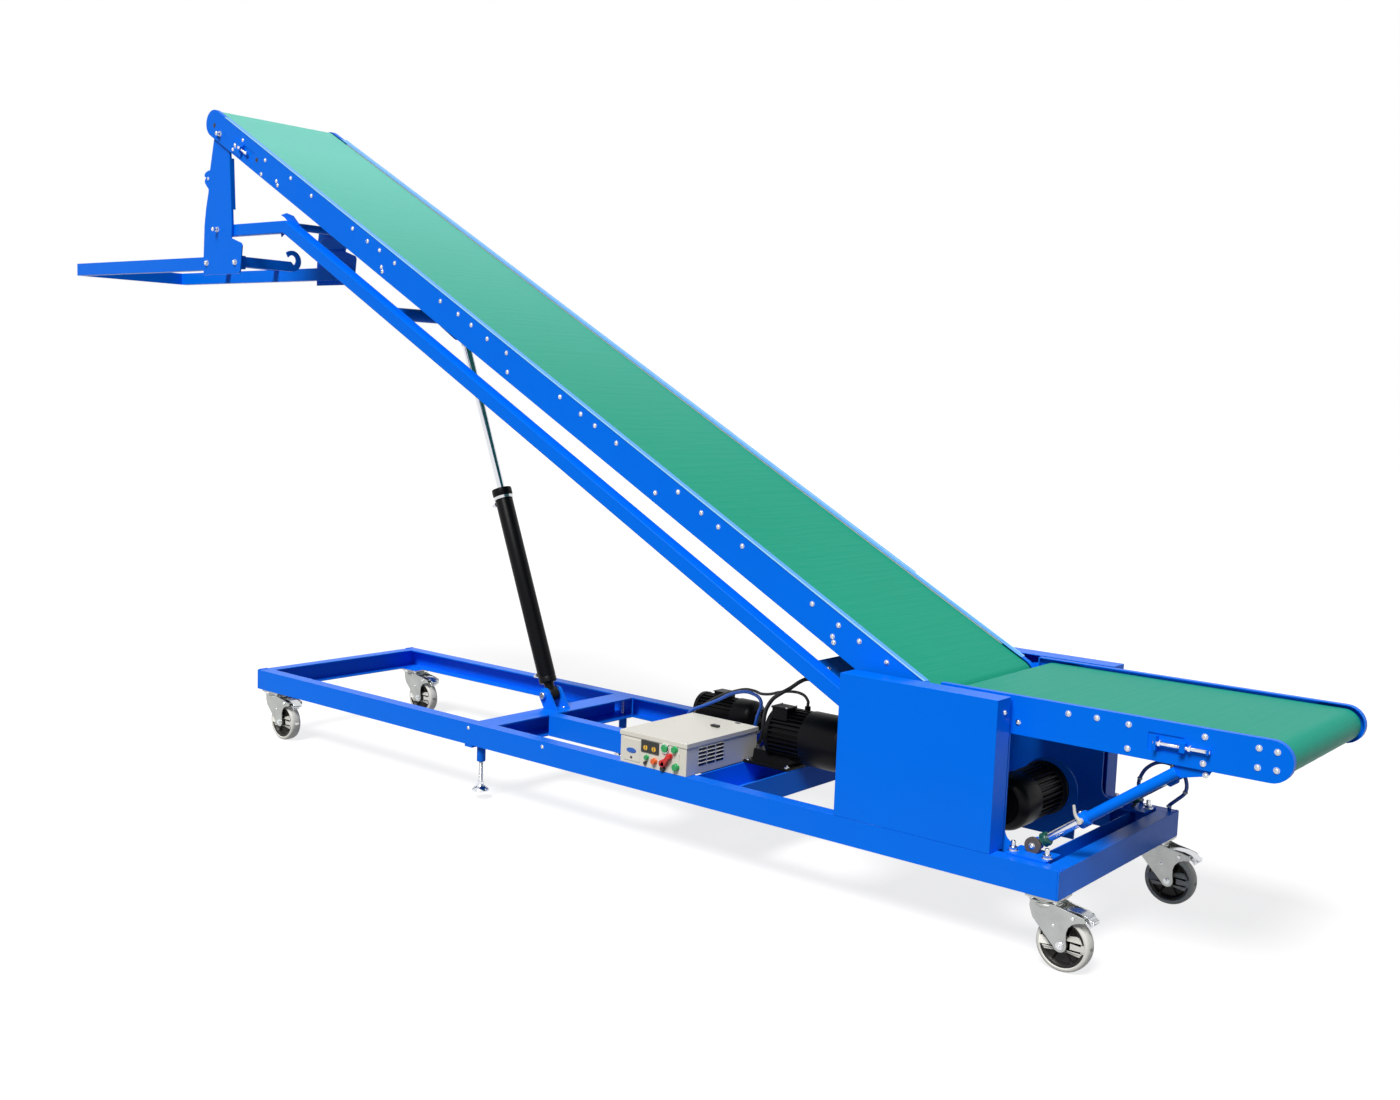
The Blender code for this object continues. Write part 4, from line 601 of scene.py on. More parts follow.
def make_motor(name, node, start, direction, radius, length, cowl, fins, feet, box):
    """A motor along its shaft: the finned body behind its flange, then the cowl with its ringed vent,
    then the feet and the terminal box."""
    body_end, r = length - cowl, radius
    parts = [finned(start, direction, 0.020, body_end + 0.002, r, fins, 0.011 * r / 0.09)]
    parts.append(turned([(0, 0), (0.014, 0), (0.016, 0.004), (r - 0.006, 0.004), (r + 0.001, 0.008),
                         (r + 0.002, 0.012), (r + 0.002, 0.024), (r - 0.004, 0.026), (0, 0.026)],
                        start, direction, 56))
    piece(name + "_body", parts, BLACK_ENAMEL, "base", [node], crease=30)
    shell = [(0, body_end), (r - 0.002, body_end), (r + 0.0025, body_end + 0.001),
             (r + 0.003, body_end + 0.004), (r + 0.003, length - 0.030), (r + 0.001, length - 0.020),
             (r - 0.006, length - 0.009), (r - 0.016, length - 0.003)]
    for step in range(4):
        edge = (r - 0.020) * (1 - step / 4.6)
        shell += [(edge, length - 0.001), (edge - 0.002, length - 0.006), (edge - 0.008, length - 0.006),
                  (edge - 0.010, length - 0.001)]
    shell += [(0.012, length - 0.0005), (0, length - 0.0005)]
    cover = [turned(shell, start, direction, 56)]
    piece(name + "_cowl", cover, BLACK_ENAMEL, "base", crease=30)
    piece(name + "_feet", feet + box, BLACK_ENAMEL, "base", edge=0.002)


near_feet = [block((0.530, -0.120, FRAME_FACE), (0.710, 0.060, 0.290)),
             plate([(-0.090, 0.286), (0.030, 0.286), (0.022, 0.325), (-0.082, 0.325)], 0.545, 0.695, "YZ")]
near_box = [block((0.622, -0.094, 0.440), (0.683, -0.042, 0.481)),
            block((0.619, -0.097, 0.478), (0.686, -0.039, 0.4845)),
            pin(0.010, 0, 0.020, (0.700, 0, 0.461), UP, 16)]
make_motor("boom_motor", "boom_drive_motor", (0.600, -0.030, 0.385), ALONG_X, radius=0.088,
           length=0.310, cowl=0.165, fins=34, feet=near_feet, box=near_box)
pump_feet = [block((0.180, 0.112, FRAME_FACE), (0.280, 0.232, 0.290)),
             plate([(0.132, 0.286), (0.212, 0.286), (0.206, 0.328), (0.138, 0.328)], 0.190, 0.270, "YZ")]
pump_box = [block((0.185, 0.148, 0.408), (0.245, 0.196, 0.431)),
            block((0.182, 0.145, 0.429), (0.248, 0.199, 0.4325))]
make_motor("hydraulic_motor", "pump_motor", (0.110, 0.172, 0.354), ALONG_X, radius=0.060,
           length=0.265, cowl=0.090, fins=24, feet=pump_feet, box=pump_box)
infeed_start = (1.500, 0.120, 0.345)
infeed_flange = [turned([(0, -0.008), (0.080, -0.008), (0.083, -0.005), (0.083, 0.002), (0, 0.002)],
                        infeed_start, BACK, 64)]
make_motor("infeed_motor", "infeed_drive_motor", infeed_start, TOWARDS_NEAR, radius=0.078,
           length=0.275, cowl=0.110, fins=30, feet=infeed_flange, box=[])
motor_bolts = []
for size, height, bolts_x, bolts_y in ((0.008, 0.006, (0.540, 0.700), (-0.105, 0.045)),
                                       (0.006, 0.005, (0.188, 0.272), (0.122, 0.222))):
    for x in bolts_x:
        for y in bolts_y:
            motor_bolts.extend(hex_nut((x, y, 0.290), UP, size, height))
motor_bolts += [bolt_head((x, y, 0.4845), UP, 0.004) for x in (0.623, 0.682) for y in (-0.095, -0.041)]
piece("motor_bolts", motor_bolts, BRIGHT_ZINC, "base")


# End trough: a bent sheet, sprayed with the frame and bolted inside the infeed end channel
trough = [block((1.7060, -0.330, 0.2050), (1.7100, 0.330, 0.2780)),
          block((1.7060, -0.330, 0.2005), (1.7800, 0.330, 0.2050))]
piece("end_trough", trough, BLUE_PAINT, "base", edge=0.0008)
trough_bolts = [bolt_head((1.745, y, 0.2050), UP, 0.009) for y in (-0.295, -0.120, 0.120, 0.295)]
piece("end_trough_bolts", trough_bolts, BRIGHT_ZINC, "base")


# Control box: folded sheet in cream enamel with an overlapping lid, a door, a black meter window
# and push buttons in front, a louvred vent in its side, and outlets for the cords behind
CREAM = finish("cream_enamel", (224, 221, 211), (217, 214, 204), (0.3, 0.42), grain=650,
               dust=0.1, relief=0.0003, strength=0.15)
# Dark plastic for the real fittings, also used as painted shade in the vent slots and in the boom side's
# holes.
DARK_PLASTIC_AND_HOLE_SHADE = finish("dark_plastic_and_hole_shade", (24, 24, 27), (16, 16, 18), (0.3, 0.4), grain=800,
                      dust=0.0)
RED_PLASTIC, GREEN_PLASTIC, ORANGE_PLASTIC = (
    finish(name, colour, shade, (0.2, 0.3), grain=400, dust=0.0)
    for name, colour, shade in (("red_plastic", (214, 26, 22), (198, 20, 18)),
                                ("green_plastic", (28, 168, 92), (20, 150, 80)),
                                ("orange_plastic", (236, 104, 34), (224, 92, 28))))
BLUE_ENAMEL, LAMP_YELLOW = (
    finish(name, colour, shade, (0.25, 0.35), grain=400, dust=0.0)
    for name, colour, shade in (("blue_enamel", (30, 98, 196), (24, 88, 184)),
                                ("lamp_yellow", (246, 198, 60), (236, 180, 48))))
BOX_LEFT, BOX_FACE, BOX_TOP = 0.242, -0.412, 0.388
BOX_WIDTH, BOX_HEIGHT = 0.283, 0.1077


def on_front(across, down, y=BOX_FACE):
    """A place on or before the box's front, from its share of the width and of the height below the top."""
    return (BOX_LEFT + across * BOX_WIDTH, y, BOX_TOP - down * BOX_HEIGHT)


shell = [block((BOX_LEFT, BOX_FACE, FRAME_FACE), (0.525, -0.040, 0.384)),
         block((0.239, -0.4145, 0.372), (0.528, -0.037, BOX_TOP))]
piece("control_box_shell", shell, CREAM, "base", ["control_box"], edge=0.0016)
details = [block(on_front(0.055, 0.90, -0.4136), on_front(0.305, 0.22, -0.411)),
           block(on_front(0.84, 0.70, -0.4146), on_front(0.90, 0.32, -0.411)),
           block((0.205, -0.200, FRAME_FACE), (0.2395, -0.060, 0.345))]
piece("control_box_door", details, CREAM, "base", edge=0.0008)
oval_x, _, oval_z = on_front(0.175, 0.575)
oval = [(oval_x + 0.021 * cos(a), oval_z + 0.0085 * sin(a))
        for a in np.linspace(0, 2 * pi, 28, endpoint=False)]
piece("door_badge", [plate(oval, -0.4150, -0.4130)], BLUE_ENAMEL, "base", edge=0.0004)
dark = [block(on_front(0.324, 0.53, -0.4150), on_front(0.592, 0.17, -0.4110)),
        turned([(0, 0.0005), (0.0045, 0.0), (0.0045, 0.003), (0, 0.003)], on_front(0.175, 0.79, -0.4150),
               BACK, 14),
        pin(0.006, 0, 0.008, on_front(0.395, 0.86, -0.419), BACK, 14),
        turned([(0, 0.0), (0.008, 0.0), (0.009, 0.010), (0, 0.010)], on_front(0.665, 0.90, -0.422),
               BACK, 14),
        block((0.420, -0.160, 0.3875), (0.448, -0.146, 0.396)),
        block((0.408, -0.150, 0.3875), (0.422, -0.136, 0.392)),
        block((0.440, -0.058, 0.3875), (0.458, -0.046, 0.3895))]
piece("box_dark_fittings", dark, DARK_PLASTIC_AND_HOLE_SHADE, "base", edge=0.0006)
dials, needles = [], []
for across in (0.394, 0.520):
    x, y, z = on_front(across, 0.385, -0.4164)
    dials.append(turned([(0, 0.0), (0.0085, 0.0005), (0.0085, 0.002), (0, 0.002)], (x, y, z), BACK, 24))
    needles.append(block((x - 0.0012, y - 0.0006, z - 0.006), (x + 0.0012, y + 0.0004, z + 0.0085)))
piece("meter_dials", dials, LAMP_YELLOW, "base")
piece("meter_needles", needles, DARK_PLASTIC_AND_HOLE_SHADE, "base")


def push_button(across, down, radius, height=0.010):
    """A round button in a bezel: a stepped profile turned about the panel's normal."""
    return turned([(0, height), (radius * 0.80, height), (radius * 0.90, height - 0.0015),
                   (radius * 0.90, 0.004), (radius, 0.003), (radius, -0.001), (0, -0.001)],
                  on_front(across, down), TOWARDS_NEAR, 28)


piece("green_buttons", [push_button(0.690, 0.27, 0.0145), push_button(0.835, 0.24, 0.0115, 0.013),
                        push_button(0.860, 0.76, 0.0125, 0.014), push_button(0.414, 0.68, 0.0085)],
      GREEN_PLASTIC, "base")
piece("orange_button", [push_button(0.535, 0.74, 0.0105, 0.014)], ORANGE_PLASTIC, "base")
grip_x, _, grip_z = on_front(0.715, 0.62)
grip = plate([(grip_x - 0.017, grip_z - 0.016), (grip_x - 0.003, grip_z - 0.020),
              (grip_x + 0.021, grip_z + 0.012), (grip_x + 0.010, grip_z + 0.021)], -0.430, -0.418)
handle = [push_button(0.680, 0.72, 0.0135, 0.018), push_button(0.765, 0.48, 0.0100, 0.016), grip]
piece("red_stop", handle, RED_PLASTIC, "base", edge=0.001)
bezels = [ring([(0.0125, -0.0005), (0.0125, -0.006), (0.0160, -0.006), (0.0168, -0.0005)],
               on_front(0.690, 0.27), BACK, 32)]
bezels += [bolt_head((x, y, BOX_TOP), UP, 0.003) for x in (0.250, 0.517) for y in (-0.404, -0.048)]
piece("button_bezels", bezels, BRIGHT_ZINC, "base")


# Cord glands: moulded black outlets in the back of the box, each a hexagon with a tapered sleeve
glands = []
for x, radius in ((0.508, 0.007), (0.470, 0.006), (0.262, 0.005)):
    outlet = (x, GLAND_Y - 0.013, GLAND_Z)
    glands.append(pin(radius + 0.007, 0, 0.006, outlet, BACK, 6))
    glands.append(turned([(0, 0.005), (radius + 0.005, 0.005), (radius + 0.0045, 0.014),
                          (radius + 0.0008, 0.026), (0, 0.026)], outlet, BACK, 28))
piece("cord_glands", glands, DARK_PLASTIC_AND_HOLE_SHADE, "base", edge=0.0004)


# The vent in the box's side: rows of short louvres pressed out of the sheet, with a thin dark sheet under
# each as painted shade of the opening behind it
louvres, slot_shades = [], []
for row in range(5):
    z = 0.3625 - row * 0.0125
    for column in range(3):
        y = -0.350 + column * 0.045
        slot_shades.append(block((0.5245, y, z - 0.0058), (0.5258, y + 0.037, z + 0.0022)))
        louvres.append(plate([(0.5250, z + 0.0040), (0.5272, z + 0.0024), (0.5266, z + 0.0016),
                              (0.5250, z + 0.0020)], y - 0.001, y + 0.038))
piece("vent_slot_shades", slot_shades, DARK_PLASTIC_AND_HOLE_SHADE, "base")
piece("vent_louvres", louvres, CREAM, "base")


# Boom: two folded side pans with a run of button bolts along each edge, hinged on the lower
# pulley's axis. Measures along the boom start at that axis and run up it.
BOOM_AXIS = np.array([1.3084, 0.0, 0.6417])
SLOPE = radians(28.1)
UP_BOOM = np.array([-cos(SLOPE), 0.0, sin(SLOPE)])
OFF_BOOM = np.array([sin(SLOPE), 0.0, cos(SLOPE)])
BOOM_SIDE, INFEED_SIDE = 0.310, 0.316


def on_boom(along, y, off):
    """A place on the boom from its distance up it, across it and square to it."""
    return BOOM_AXIS + UP_BOOM * along + OFF_BOOM * off + np.array([0, y, 0])


def boom_plate(outline, low, high):
    """A plate in the boom's own plane, from an outline of (along, off) pairs."""
    flat = [on_boom(along, 0, off)[[0, 2]] for along, off in outline]
    return plate(flat, low, high)


def boom_strip(first, last, low, high):
    """A rectangular plate in the boom's own plane, between two opposite (along, off) corners."""
    (left, under), (right, over) = first, last
    return boom_plate([(left, under), (right, under), (right, over), (left, over)], low, high)


BOOM_BOLTS = [(-2.089, 2.484), (-2.141, 2.459), (-1.928, 2.391), (-1.956, 2.336), (-1.849, 2.301),
              (-1.841, 2.284), (-1.750, 2.307), (-1.611, 2.229), (-1.343, 2.089), (-1.249, 2.037),
              (-1.175, 2.000), (-1.163, 1.936), (-1.157, 1.919), (-1.084, 1.949), (-0.817, 1.803),
              (-0.717, 1.755), (-0.645, 1.715), (-0.558, 1.666), (-0.456, 1.617), (-0.449, 1.549),
              (-0.182, 1.469), (-0.081, 1.414), (-0.013, 1.377), (0.088, 1.323), (0.268, 1.169),
              (0.366, 1.179), (0.466, 1.119), (0.538, 1.080), (0.637, 1.028), (0.913, 0.878),
              (1.012, 0.825), (0.992, 0.788), (0.997, 0.771), (1.088, 0.787), (1.186, 0.737)]
INFEED_BOLTS = [(1.619, 0.635), (1.764, 0.684), (1.845, 0.686), (1.933, 0.684), (1.934, 0.620),
                (2.134, 0.687), (2.134, 0.618), (2.269, 0.683), (2.314, 0.681), (2.269, 0.634),
                (2.315, 0.635)]
for side_name, side in SIDES:
    outward = (0, side, 0)
    piece(f"boom_bolts_{side_name}", [bolt_head((x, side * BOOM_SIDE, z), outward)
                                      for x, z in BOOM_BOLTS], BRIGHT_ZINC, "boom")
    piece(f"infeed_bolts_{side_name}", [bolt_head((x, side * INFEED_SIDE, z), outward)
                                        for x, z in INFEED_BOLTS], BRIGHT_ZINC, "base")


# Belts: green rubber with a fine rib across the run, shallow creases, a darker cut edge, and a slight
# ripple where it turns round the pulleys. The boom's belt also has a painted sheen: its colour pales
# towards the head in place of the sky's grazing reflection.
BELT_HALF = 0.286
RIB_SCALE = 78.5                    # 2 pi / (20 * 4 mm)
CREASE_SCALE = (46.0, 3.0, 1.0)     # close together along the belt, long across it
CUT_EDGE = linear(16, 74, 62)


def rubber(name, colour, shade, painted_sheen=None):
    """The belt's finish: the common drift and grain, with ribs 4 mm apart, shallow creases and the cut
    edge from its own map, whose first measure runs along the belt and whose second runs across it, in
    metres. Towards the boom's head it pales to the painted-sheen colour, with the 1.5th power of the way: a
    painted sheen that stands for the sky's grazing reflection on the rubber."""
    made = finish(name, colour, shade, (0.34, 0.46), grain=420, relief=0.0003,
                  strength=0.18, dust=0.02, drift=1.6, specular=0.04)
    tree = made.node_tree
    surface = tree.nodes["Principled BSDF"].inputs
    run = add_node(tree, "UVMap", uv_map="run").outputs["UV"]
    ribs = add_node(tree, "TexWave", {"Vector": run, "Scale": RIB_SCALE})
    second = add_node(tree, "Bump", {"Height": ribs.outputs["Fac"], "Strength": 0.35, "Distance": 0.0005,
                                     "Normal": surface["Normal"].links[0].from_socket})
    stretch = add_node(tree, "VectorMath", {0: run, 1: CREASE_SCALE}, operation="MULTIPLY")
    creases = add_node(tree, "TexNoise", {"Vector": stretch.outputs["Vector"], "Scale": 1.0,
                                          "Detail": 3.0})
    third = add_node(tree, "Bump", {"Height": creases.outputs["Fac"], "Strength": 0.8,
                                    "Distance": 0.0022, "Normal": second.outputs["Normal"]})
    tree.links.new(third.outputs["Normal"], surface["Normal"])
    across = add_node(tree, "SeparateXYZ", {"Vector": run}).outputs["Y"]
    out = add_node(tree, "Math", {0: across}, operation="ABSOLUTE")
    edge = add_node(tree, "MapRange", {"Value": out.outputs["Value"], "From Min": BELT_HALF - 0.0035,
                                       "From Max": BELT_HALF - 0.0005})
    before = surface["Base Color"].links[0].from_socket
    # Painted sheen: the colour pales along the boom towards its head, in place of the grazing reflection of
    # the sky.
    if painted_sheen:
        place = add_node(tree, "TexCoord").outputs["Object"]
        along = add_node(tree, "SeparateXYZ", {"Vector": place}).outputs["X"]
        way = add_node(tree, "MapRange", {"Value": along, "From Min": 1.10, "From Max": -1.45})
        power = add_node(tree, "Math", {0: way.outputs["Result"], 1: 1.5}, operation="POWER")
        before = add_node(tree, "Mix", {"Factor": power.outputs["Value"], "A": before,
                                        "B": linear(*painted_sheen)}, data_type="RGBA").outputs["Result"]
    cut = add_node(tree, "Mix", {"Factor": edge.outputs["Result"], "A": before,
                                 "B": CUT_EDGE}, data_type="RGBA")
    tree.links.new(cut.outputs["Result"], surface["Base Color"])
    return made


BELT_RUBBER = rubber("infeed_belt_rubber", (14, 160, 136), (11, 153, 130))
# The boom's belt pales to a painted sheen towards its head.
BOOM_RUBBER = rubber("boom_belt_rubber", (26, 162, 133), (22, 156, 127), (118, 211, 196))


def make_belt(name, rubber_finish, length, radius, axis, slope, body):
    """Endless belt: s runs up the carrying side, half round the far pulley, back below and half round
    the near one, at radius r; across it, the outer face is r + 0.3 mm * sin(70 v) near the pulleys."""
    runs = np.linspace(0, length, 76)[:-1]
    turn = np.linspace(0, pi, 22)[:-1]
    blank = np.zeros_like
    x = np.concatenate([runs, np.full_like(turn, length), length - runs, blank(turn)])
    angle = np.concatenate([blank(runs), turn, np.full_like(runs, pi), pi + turn])
    bent = np.concatenate([blank(runs), np.sin(turn), blank(runs), np.sin(turn)])
    across = np.concatenate([np.linspace(-BELT_HALF, BELT_HALF, 19), [BELT_HALF, -BELT_HALF]])
    level = np.concatenate([np.zeros(19), [-0.004, -0.004]])
    ripple = bent[:, None] * 0.0003 * np.sin(70 * across + 0.8) * (level == 0)
    r = radius + level[None] + ripple
    along = x[:, None] + r * np.sin(angle)[:, None]
    off = r * np.cos(angle)[:, None]
    up_run = np.array([-cos(slope), 0, sin(slope)])
    square = np.array([sin(slope), 0, cos(slope)])
    points = (np.array(axis) + along[..., None] * up_run + off[..., None] * square
              + across[None, :, None] * np.array([0, 1, 0]))
    made = piece(name + "_rubber", [(points.reshape(-1, 3), grid_faces(len(x), len(across), True))],
                 rubber_finish, body, [name])
    lay_along(made.data, length, radius, axis, up_run, square)


def lay_along(mesh, length, radius, axis, up_run, square):
    """Belt's own map, from the shape: how far round the belt each corner lies, and how far across it."""
    where = np.zeros(len(mesh.vertices) * 3)
    mesh.vertices.foreach_get("co", where)
    where = where.reshape(-1, 3) - MIDDLE - np.array(axis)
    a, b = where @ up_run, where @ square
    ends = np.where(a < 0, 2 * length + pi * radius + radius * np.arctan2(-a, -b), 0)
    ends = np.where(a > length, length + radius * np.arctan2(a - length, b), ends)
    run = np.where((a >= 0) & (a <= length), np.where(b > 0, a, 2 * length + pi * radius - a), ends)
    corner = np.zeros(len(mesh.loops), dtype=np.int32)
    mesh.loops.foreach_get("vertex_index", corner)
    first = run[corner]
    start = np.zeros(len(mesh.polygons), dtype=np.int32)
    mesh.polygons.foreach_get("loop_start", start)
    total = np.zeros(len(mesh.polygons), dtype=np.int32)
    mesh.polygons.foreach_get("loop_total", total)
    highest = np.repeat(np.maximum.reduceat(first, start), total)
    first = np.where(highest - first > length / 2, first + 2 * length + 2 * pi * radius, first)
    layer = mesh.uv_layers.new(name="run")
    layer.data.foreach_set("uv", np.column_stack([first, where[corner, 1]]).ravel())


make_belt("boom_belt", BOOM_RUBBER, length=4.100, radius=0.052, axis=BOOM_AXIS, slope=SLOPE,
          body="boom")
make_belt("infeed_belt", BELT_RUBBER, length=0.869, radius=0.0455, axis=(2.301, 0, 0.6544), slope=0.0,
          body="base")


# Pulleys and slider beds: turned steel drums and galvanised trays, mostly hidden by the belts
GALVANISED = finish("galvanised_sheet", (186, 190, 192), (160, 166, 170), (0.35, 0.5),
                    metallic=0.9, grain=120, drift=30, dust=0.05)
for node in ("boom_bed", "infeed_bed", "boom_head_pulley", "boom_tail_pulley",
             "infeed_inner_pulley", "infeed_outer_pulley"):
    mesh = frame["nodes"][node].data
    for index in range(len(mesh.materials)):
        mesh.materials[index] = GALVANISED


# Boom rims: a flange folded along the top of each side, its blue lightened as a painted highlight of its
# lit top, a pale tube along the fold as a painted highlight of the fold's edge, and a pale strip
# under it that guides the belt. On the far side the flange is folded outwards too.
# The rim's blue is lighter than the frame's: a painted highlight of the flange's lit top.
RIM_PAINTED_HIGHLIGHT = finish("rim_coat_painted_highlight", (64, 170, 255), (58, 162, 252), (0.22, 0.32),
                   grain=380, relief=0.0003, strength=0.12, dust=0.03, specular=0.5)
# A pale tube along the fold: a painted highlight of the fold's bright edge.
FOLD_PAINTED_HIGHLIGHT = finish("fold_painted_highlight", (150, 214, 255), (136, 206, 252), (0.3, 0.4),
                    grain=240, relief=0.0002, strength=0.1, dust=0.03)
GUIDE_STRIP = finish("pale_guide_strip", (206, 214, 216), (176, 186, 190), (0.45, 0.6),
                     grain=120, drift=30, dust=0.1)
RIM_OFF, RIM_SHEET, RIM_END = 0.0574, 0.0020, 4.030
for side_name, side in SIDES:
    flange = [boom_strip((0.020, RIM_OFF - RIM_SHEET), (RIM_END, RIM_OFF),
                         side * (BOOM_SIDE - 0.0225), side * (BOOM_SIDE + 0.0005))]
    if side > 0:
        flange.append(boom_strip((0.500, RIM_OFF - RIM_SHEET), (RIM_END, RIM_OFF), BOOM_SIDE,
                                 BOOM_SIDE + 0.012))
    piece(f"boom_rim_{side_name}", flange, RIM_PAINTED_HIGHLIGHT, "boom", edge=0.0005)
    guide = boom_strip((0.100, 0.0505), (3.980, 0.0554), side * (BOOM_SIDE - 0.0215),
                       side * (BOOM_SIDE - 0.0045))
    piece(f"belt_guide_{side_name}", [guide], GUIDE_STRIP, "boom")
    fold = [on_boom(along, side * (BOOM_SIDE + 0.0005), RIM_OFF - 0.0012)
            for along in np.linspace(0.022, RIM_END - 0.002, 60)]
    piece(f"boom_fold_{side_name}", [swept(fold, 0.0022, 12)], FOLD_PAINTED_HIGHLIGHT, "boom")


# Link frame: two cranked rectangular tubes with a stiffening lip welded inside, joined by round
# cross tubes, with curved gussets at the corner
BAR_TOP, BAR_LOW, LIP_TOP = -0.1505, -0.2005, -0.1385
BAR_INNER, BAR_OUTER = 0.258, 0.288
ARM_Z = 2.1186
LINK_FOOT = np.array([1.2834, 0.2397])
PLATE_SIDE = 0.300       # outer face of a head plate


def link_at(along, off):
    """The x and z of a place on the link bars' plane."""
    return on_boom(along, 0, off)[[0, 2]].tolist()


def reach_at(off, height):
    """How far up the boom a line at a distance off it reaches a height."""
    return (height - BOOM_AXIS[2] - OFF_BOOM[2] * off) / UP_BOOM[2]


top_corner, low_corner = reach_at(BAR_TOP, ARM_Z + 0.025), reach_at(BAR_LOW, ARM_Z - 0.025)
bar = [link_at(top_corner, BAR_TOP), *arc((-2.3000, ARM_Z), 0.025, 90, 270, 12),
       link_at(low_corner, BAR_LOW), link_at(0.130, BAR_LOW), *arc(LINK_FOOT, 0.034, 180, 375, 16),
       (LINK_FOOT[0] + 0.012, LINK_FOOT[1] + 0.160), link_at(0.050, BAR_TOP - 0.012),
       link_at(0.080, BAR_TOP)]
lip = [link_at(top_corner - 0.03, BAR_TOP - 0.005), link_at(0.080, BAR_TOP - 0.005),
       link_at(0.080, LIP_TOP), link_at(top_corner - 0.03, LIP_TOP)]
for side_name, side in SIDES:
    piece(f"link_bar_{side_name}_tube", [plate(bar, side * BAR_INNER, side * BAR_OUTER)], BLUE_PAINT,
          "link_frame", [f"link_bar_{side_name}"], edge=0.003, crease=30)
    lip_plate = plate(lip, side * BAR_INNER, side * (BAR_INNER + 0.005))
    piece(f"link_lip_{side_name}", [lip_plate], BLUE_PAINT, "link_frame", edge=0.001)
corner_tube = [turned([(0, 0), (0.030, 0.0), (0.030, 0.005), (0.017, 0.008), (0.016, 0.012),
                       (0.016, 0.503), (0.017, 0.507), (0.030, 0.510), (0.030, 0.5154), (0, 0.5154)],
                      (-1.8274, -0.2577, 2.1239), BACK, 32)]
piece("link_corner_tube_welded", corner_tube, BLUE_PAINT, "link_frame",
      ["link_corner_tube"])
corner_x, corner_z = link_at((top_corner + low_corner) / 2, (BAR_TOP + BAR_LOW) / 2)
web = [(corner_x - 0.075, corner_z + 0.012), (corner_x - 0.030, corner_z + 0.030),
       (corner_x + 0.030, corner_z + 0.016), (corner_x + 0.052, corner_z - 0.006),
       *arc((corner_x - 0.018, corner_z - 0.085), 0.062, 40, 130, 8)]
fin = [(-1.886, 2.1715), (-1.846, 2.1775), (-1.800, 2.1640), (-1.757, 2.1270), (-1.775, 2.1100),
       (-1.830, 2.1380), (-1.858, 2.1590)]
for side_name, side in SIDES:
    fin_plate = plate(fin, side * (BAR_INNER + 0.001), side * (BAR_INNER + 0.006))
    piece(f"link_corner_fin_{side_name}", [fin_plate], BLUE_PAINT, "link_frame",
          edge=0.0008)
    gusset = plate(web, side * (BAR_INNER - 0.004), side * BAR_INNER)
    piece(f"link_gusset_{side_name}", [gusset], BLUE_PAINT, "link_frame", edge=0.001)
piece("link_plate_bolt", [bolt_head((*np.insert(link_at(0.345, BAR_TOP), 1, -0.235),),
                                    OFF_BOOM.tolist())], BRIGHT_ZINC, "link_frame")


# Head carrier: two laser-cut plates with a folded edge, kept level by the link frame. Each hangs on
# a long bolt at the boom's nose, is held by a second one in the link bar, and carries the tray
HEAD_PIN = np.array([-2.2750, 2.5206])
LINK_HEAD_PIN = np.array([-2.3000, 2.1186])
PLATE_LEFT = [(-2.3505, 2.384), (-2.353, 2.3785), (-2.366, 2.3782), (-2.3867, 2.3704), (-2.395, 2.3612),
              (-2.3925, 2.3530), (-2.3800, 2.3490), (-2.3898, 2.3421), (-2.3929, 2.3297), (-2.3794, 2.3146),
              (-2.3628, 2.2994), (-2.3628, 2.2880), (-2.3814, 2.2205), (-2.3938, 2.1465), (-2.4015, 2.0085),
              (-2.4015, 1.9326)]
PLATE_RIGHT = [(-2.1450, 1.9326), (-2.1290, 1.9360), (-2.1219, 1.9471), (-2.1096, 2.0507),
               (-2.1175, 2.0621), (-2.1903, 2.0844), (-2.1875, 2.1435), (-2.1962, 2.3123),
               (-2.2068, 2.4640)]
HEAD_BOLTS = [(-2.3745, 1.9839), (-2.1600, 1.9817)]


def long_bolt(place, side, reach):
    """A bolt that stands proud of its nut: the nut at the place, the shank and its domed head beyond it."""
    place = np.array(place, float)
    out = (0, side, 0)
    return [*hex_nut(place, out, 0.0100, 0.008), pin(0.0055, 0, reach, place, out, 16),
            bolt_head(place + (0, side * reach, 0), out, 0.0088)]


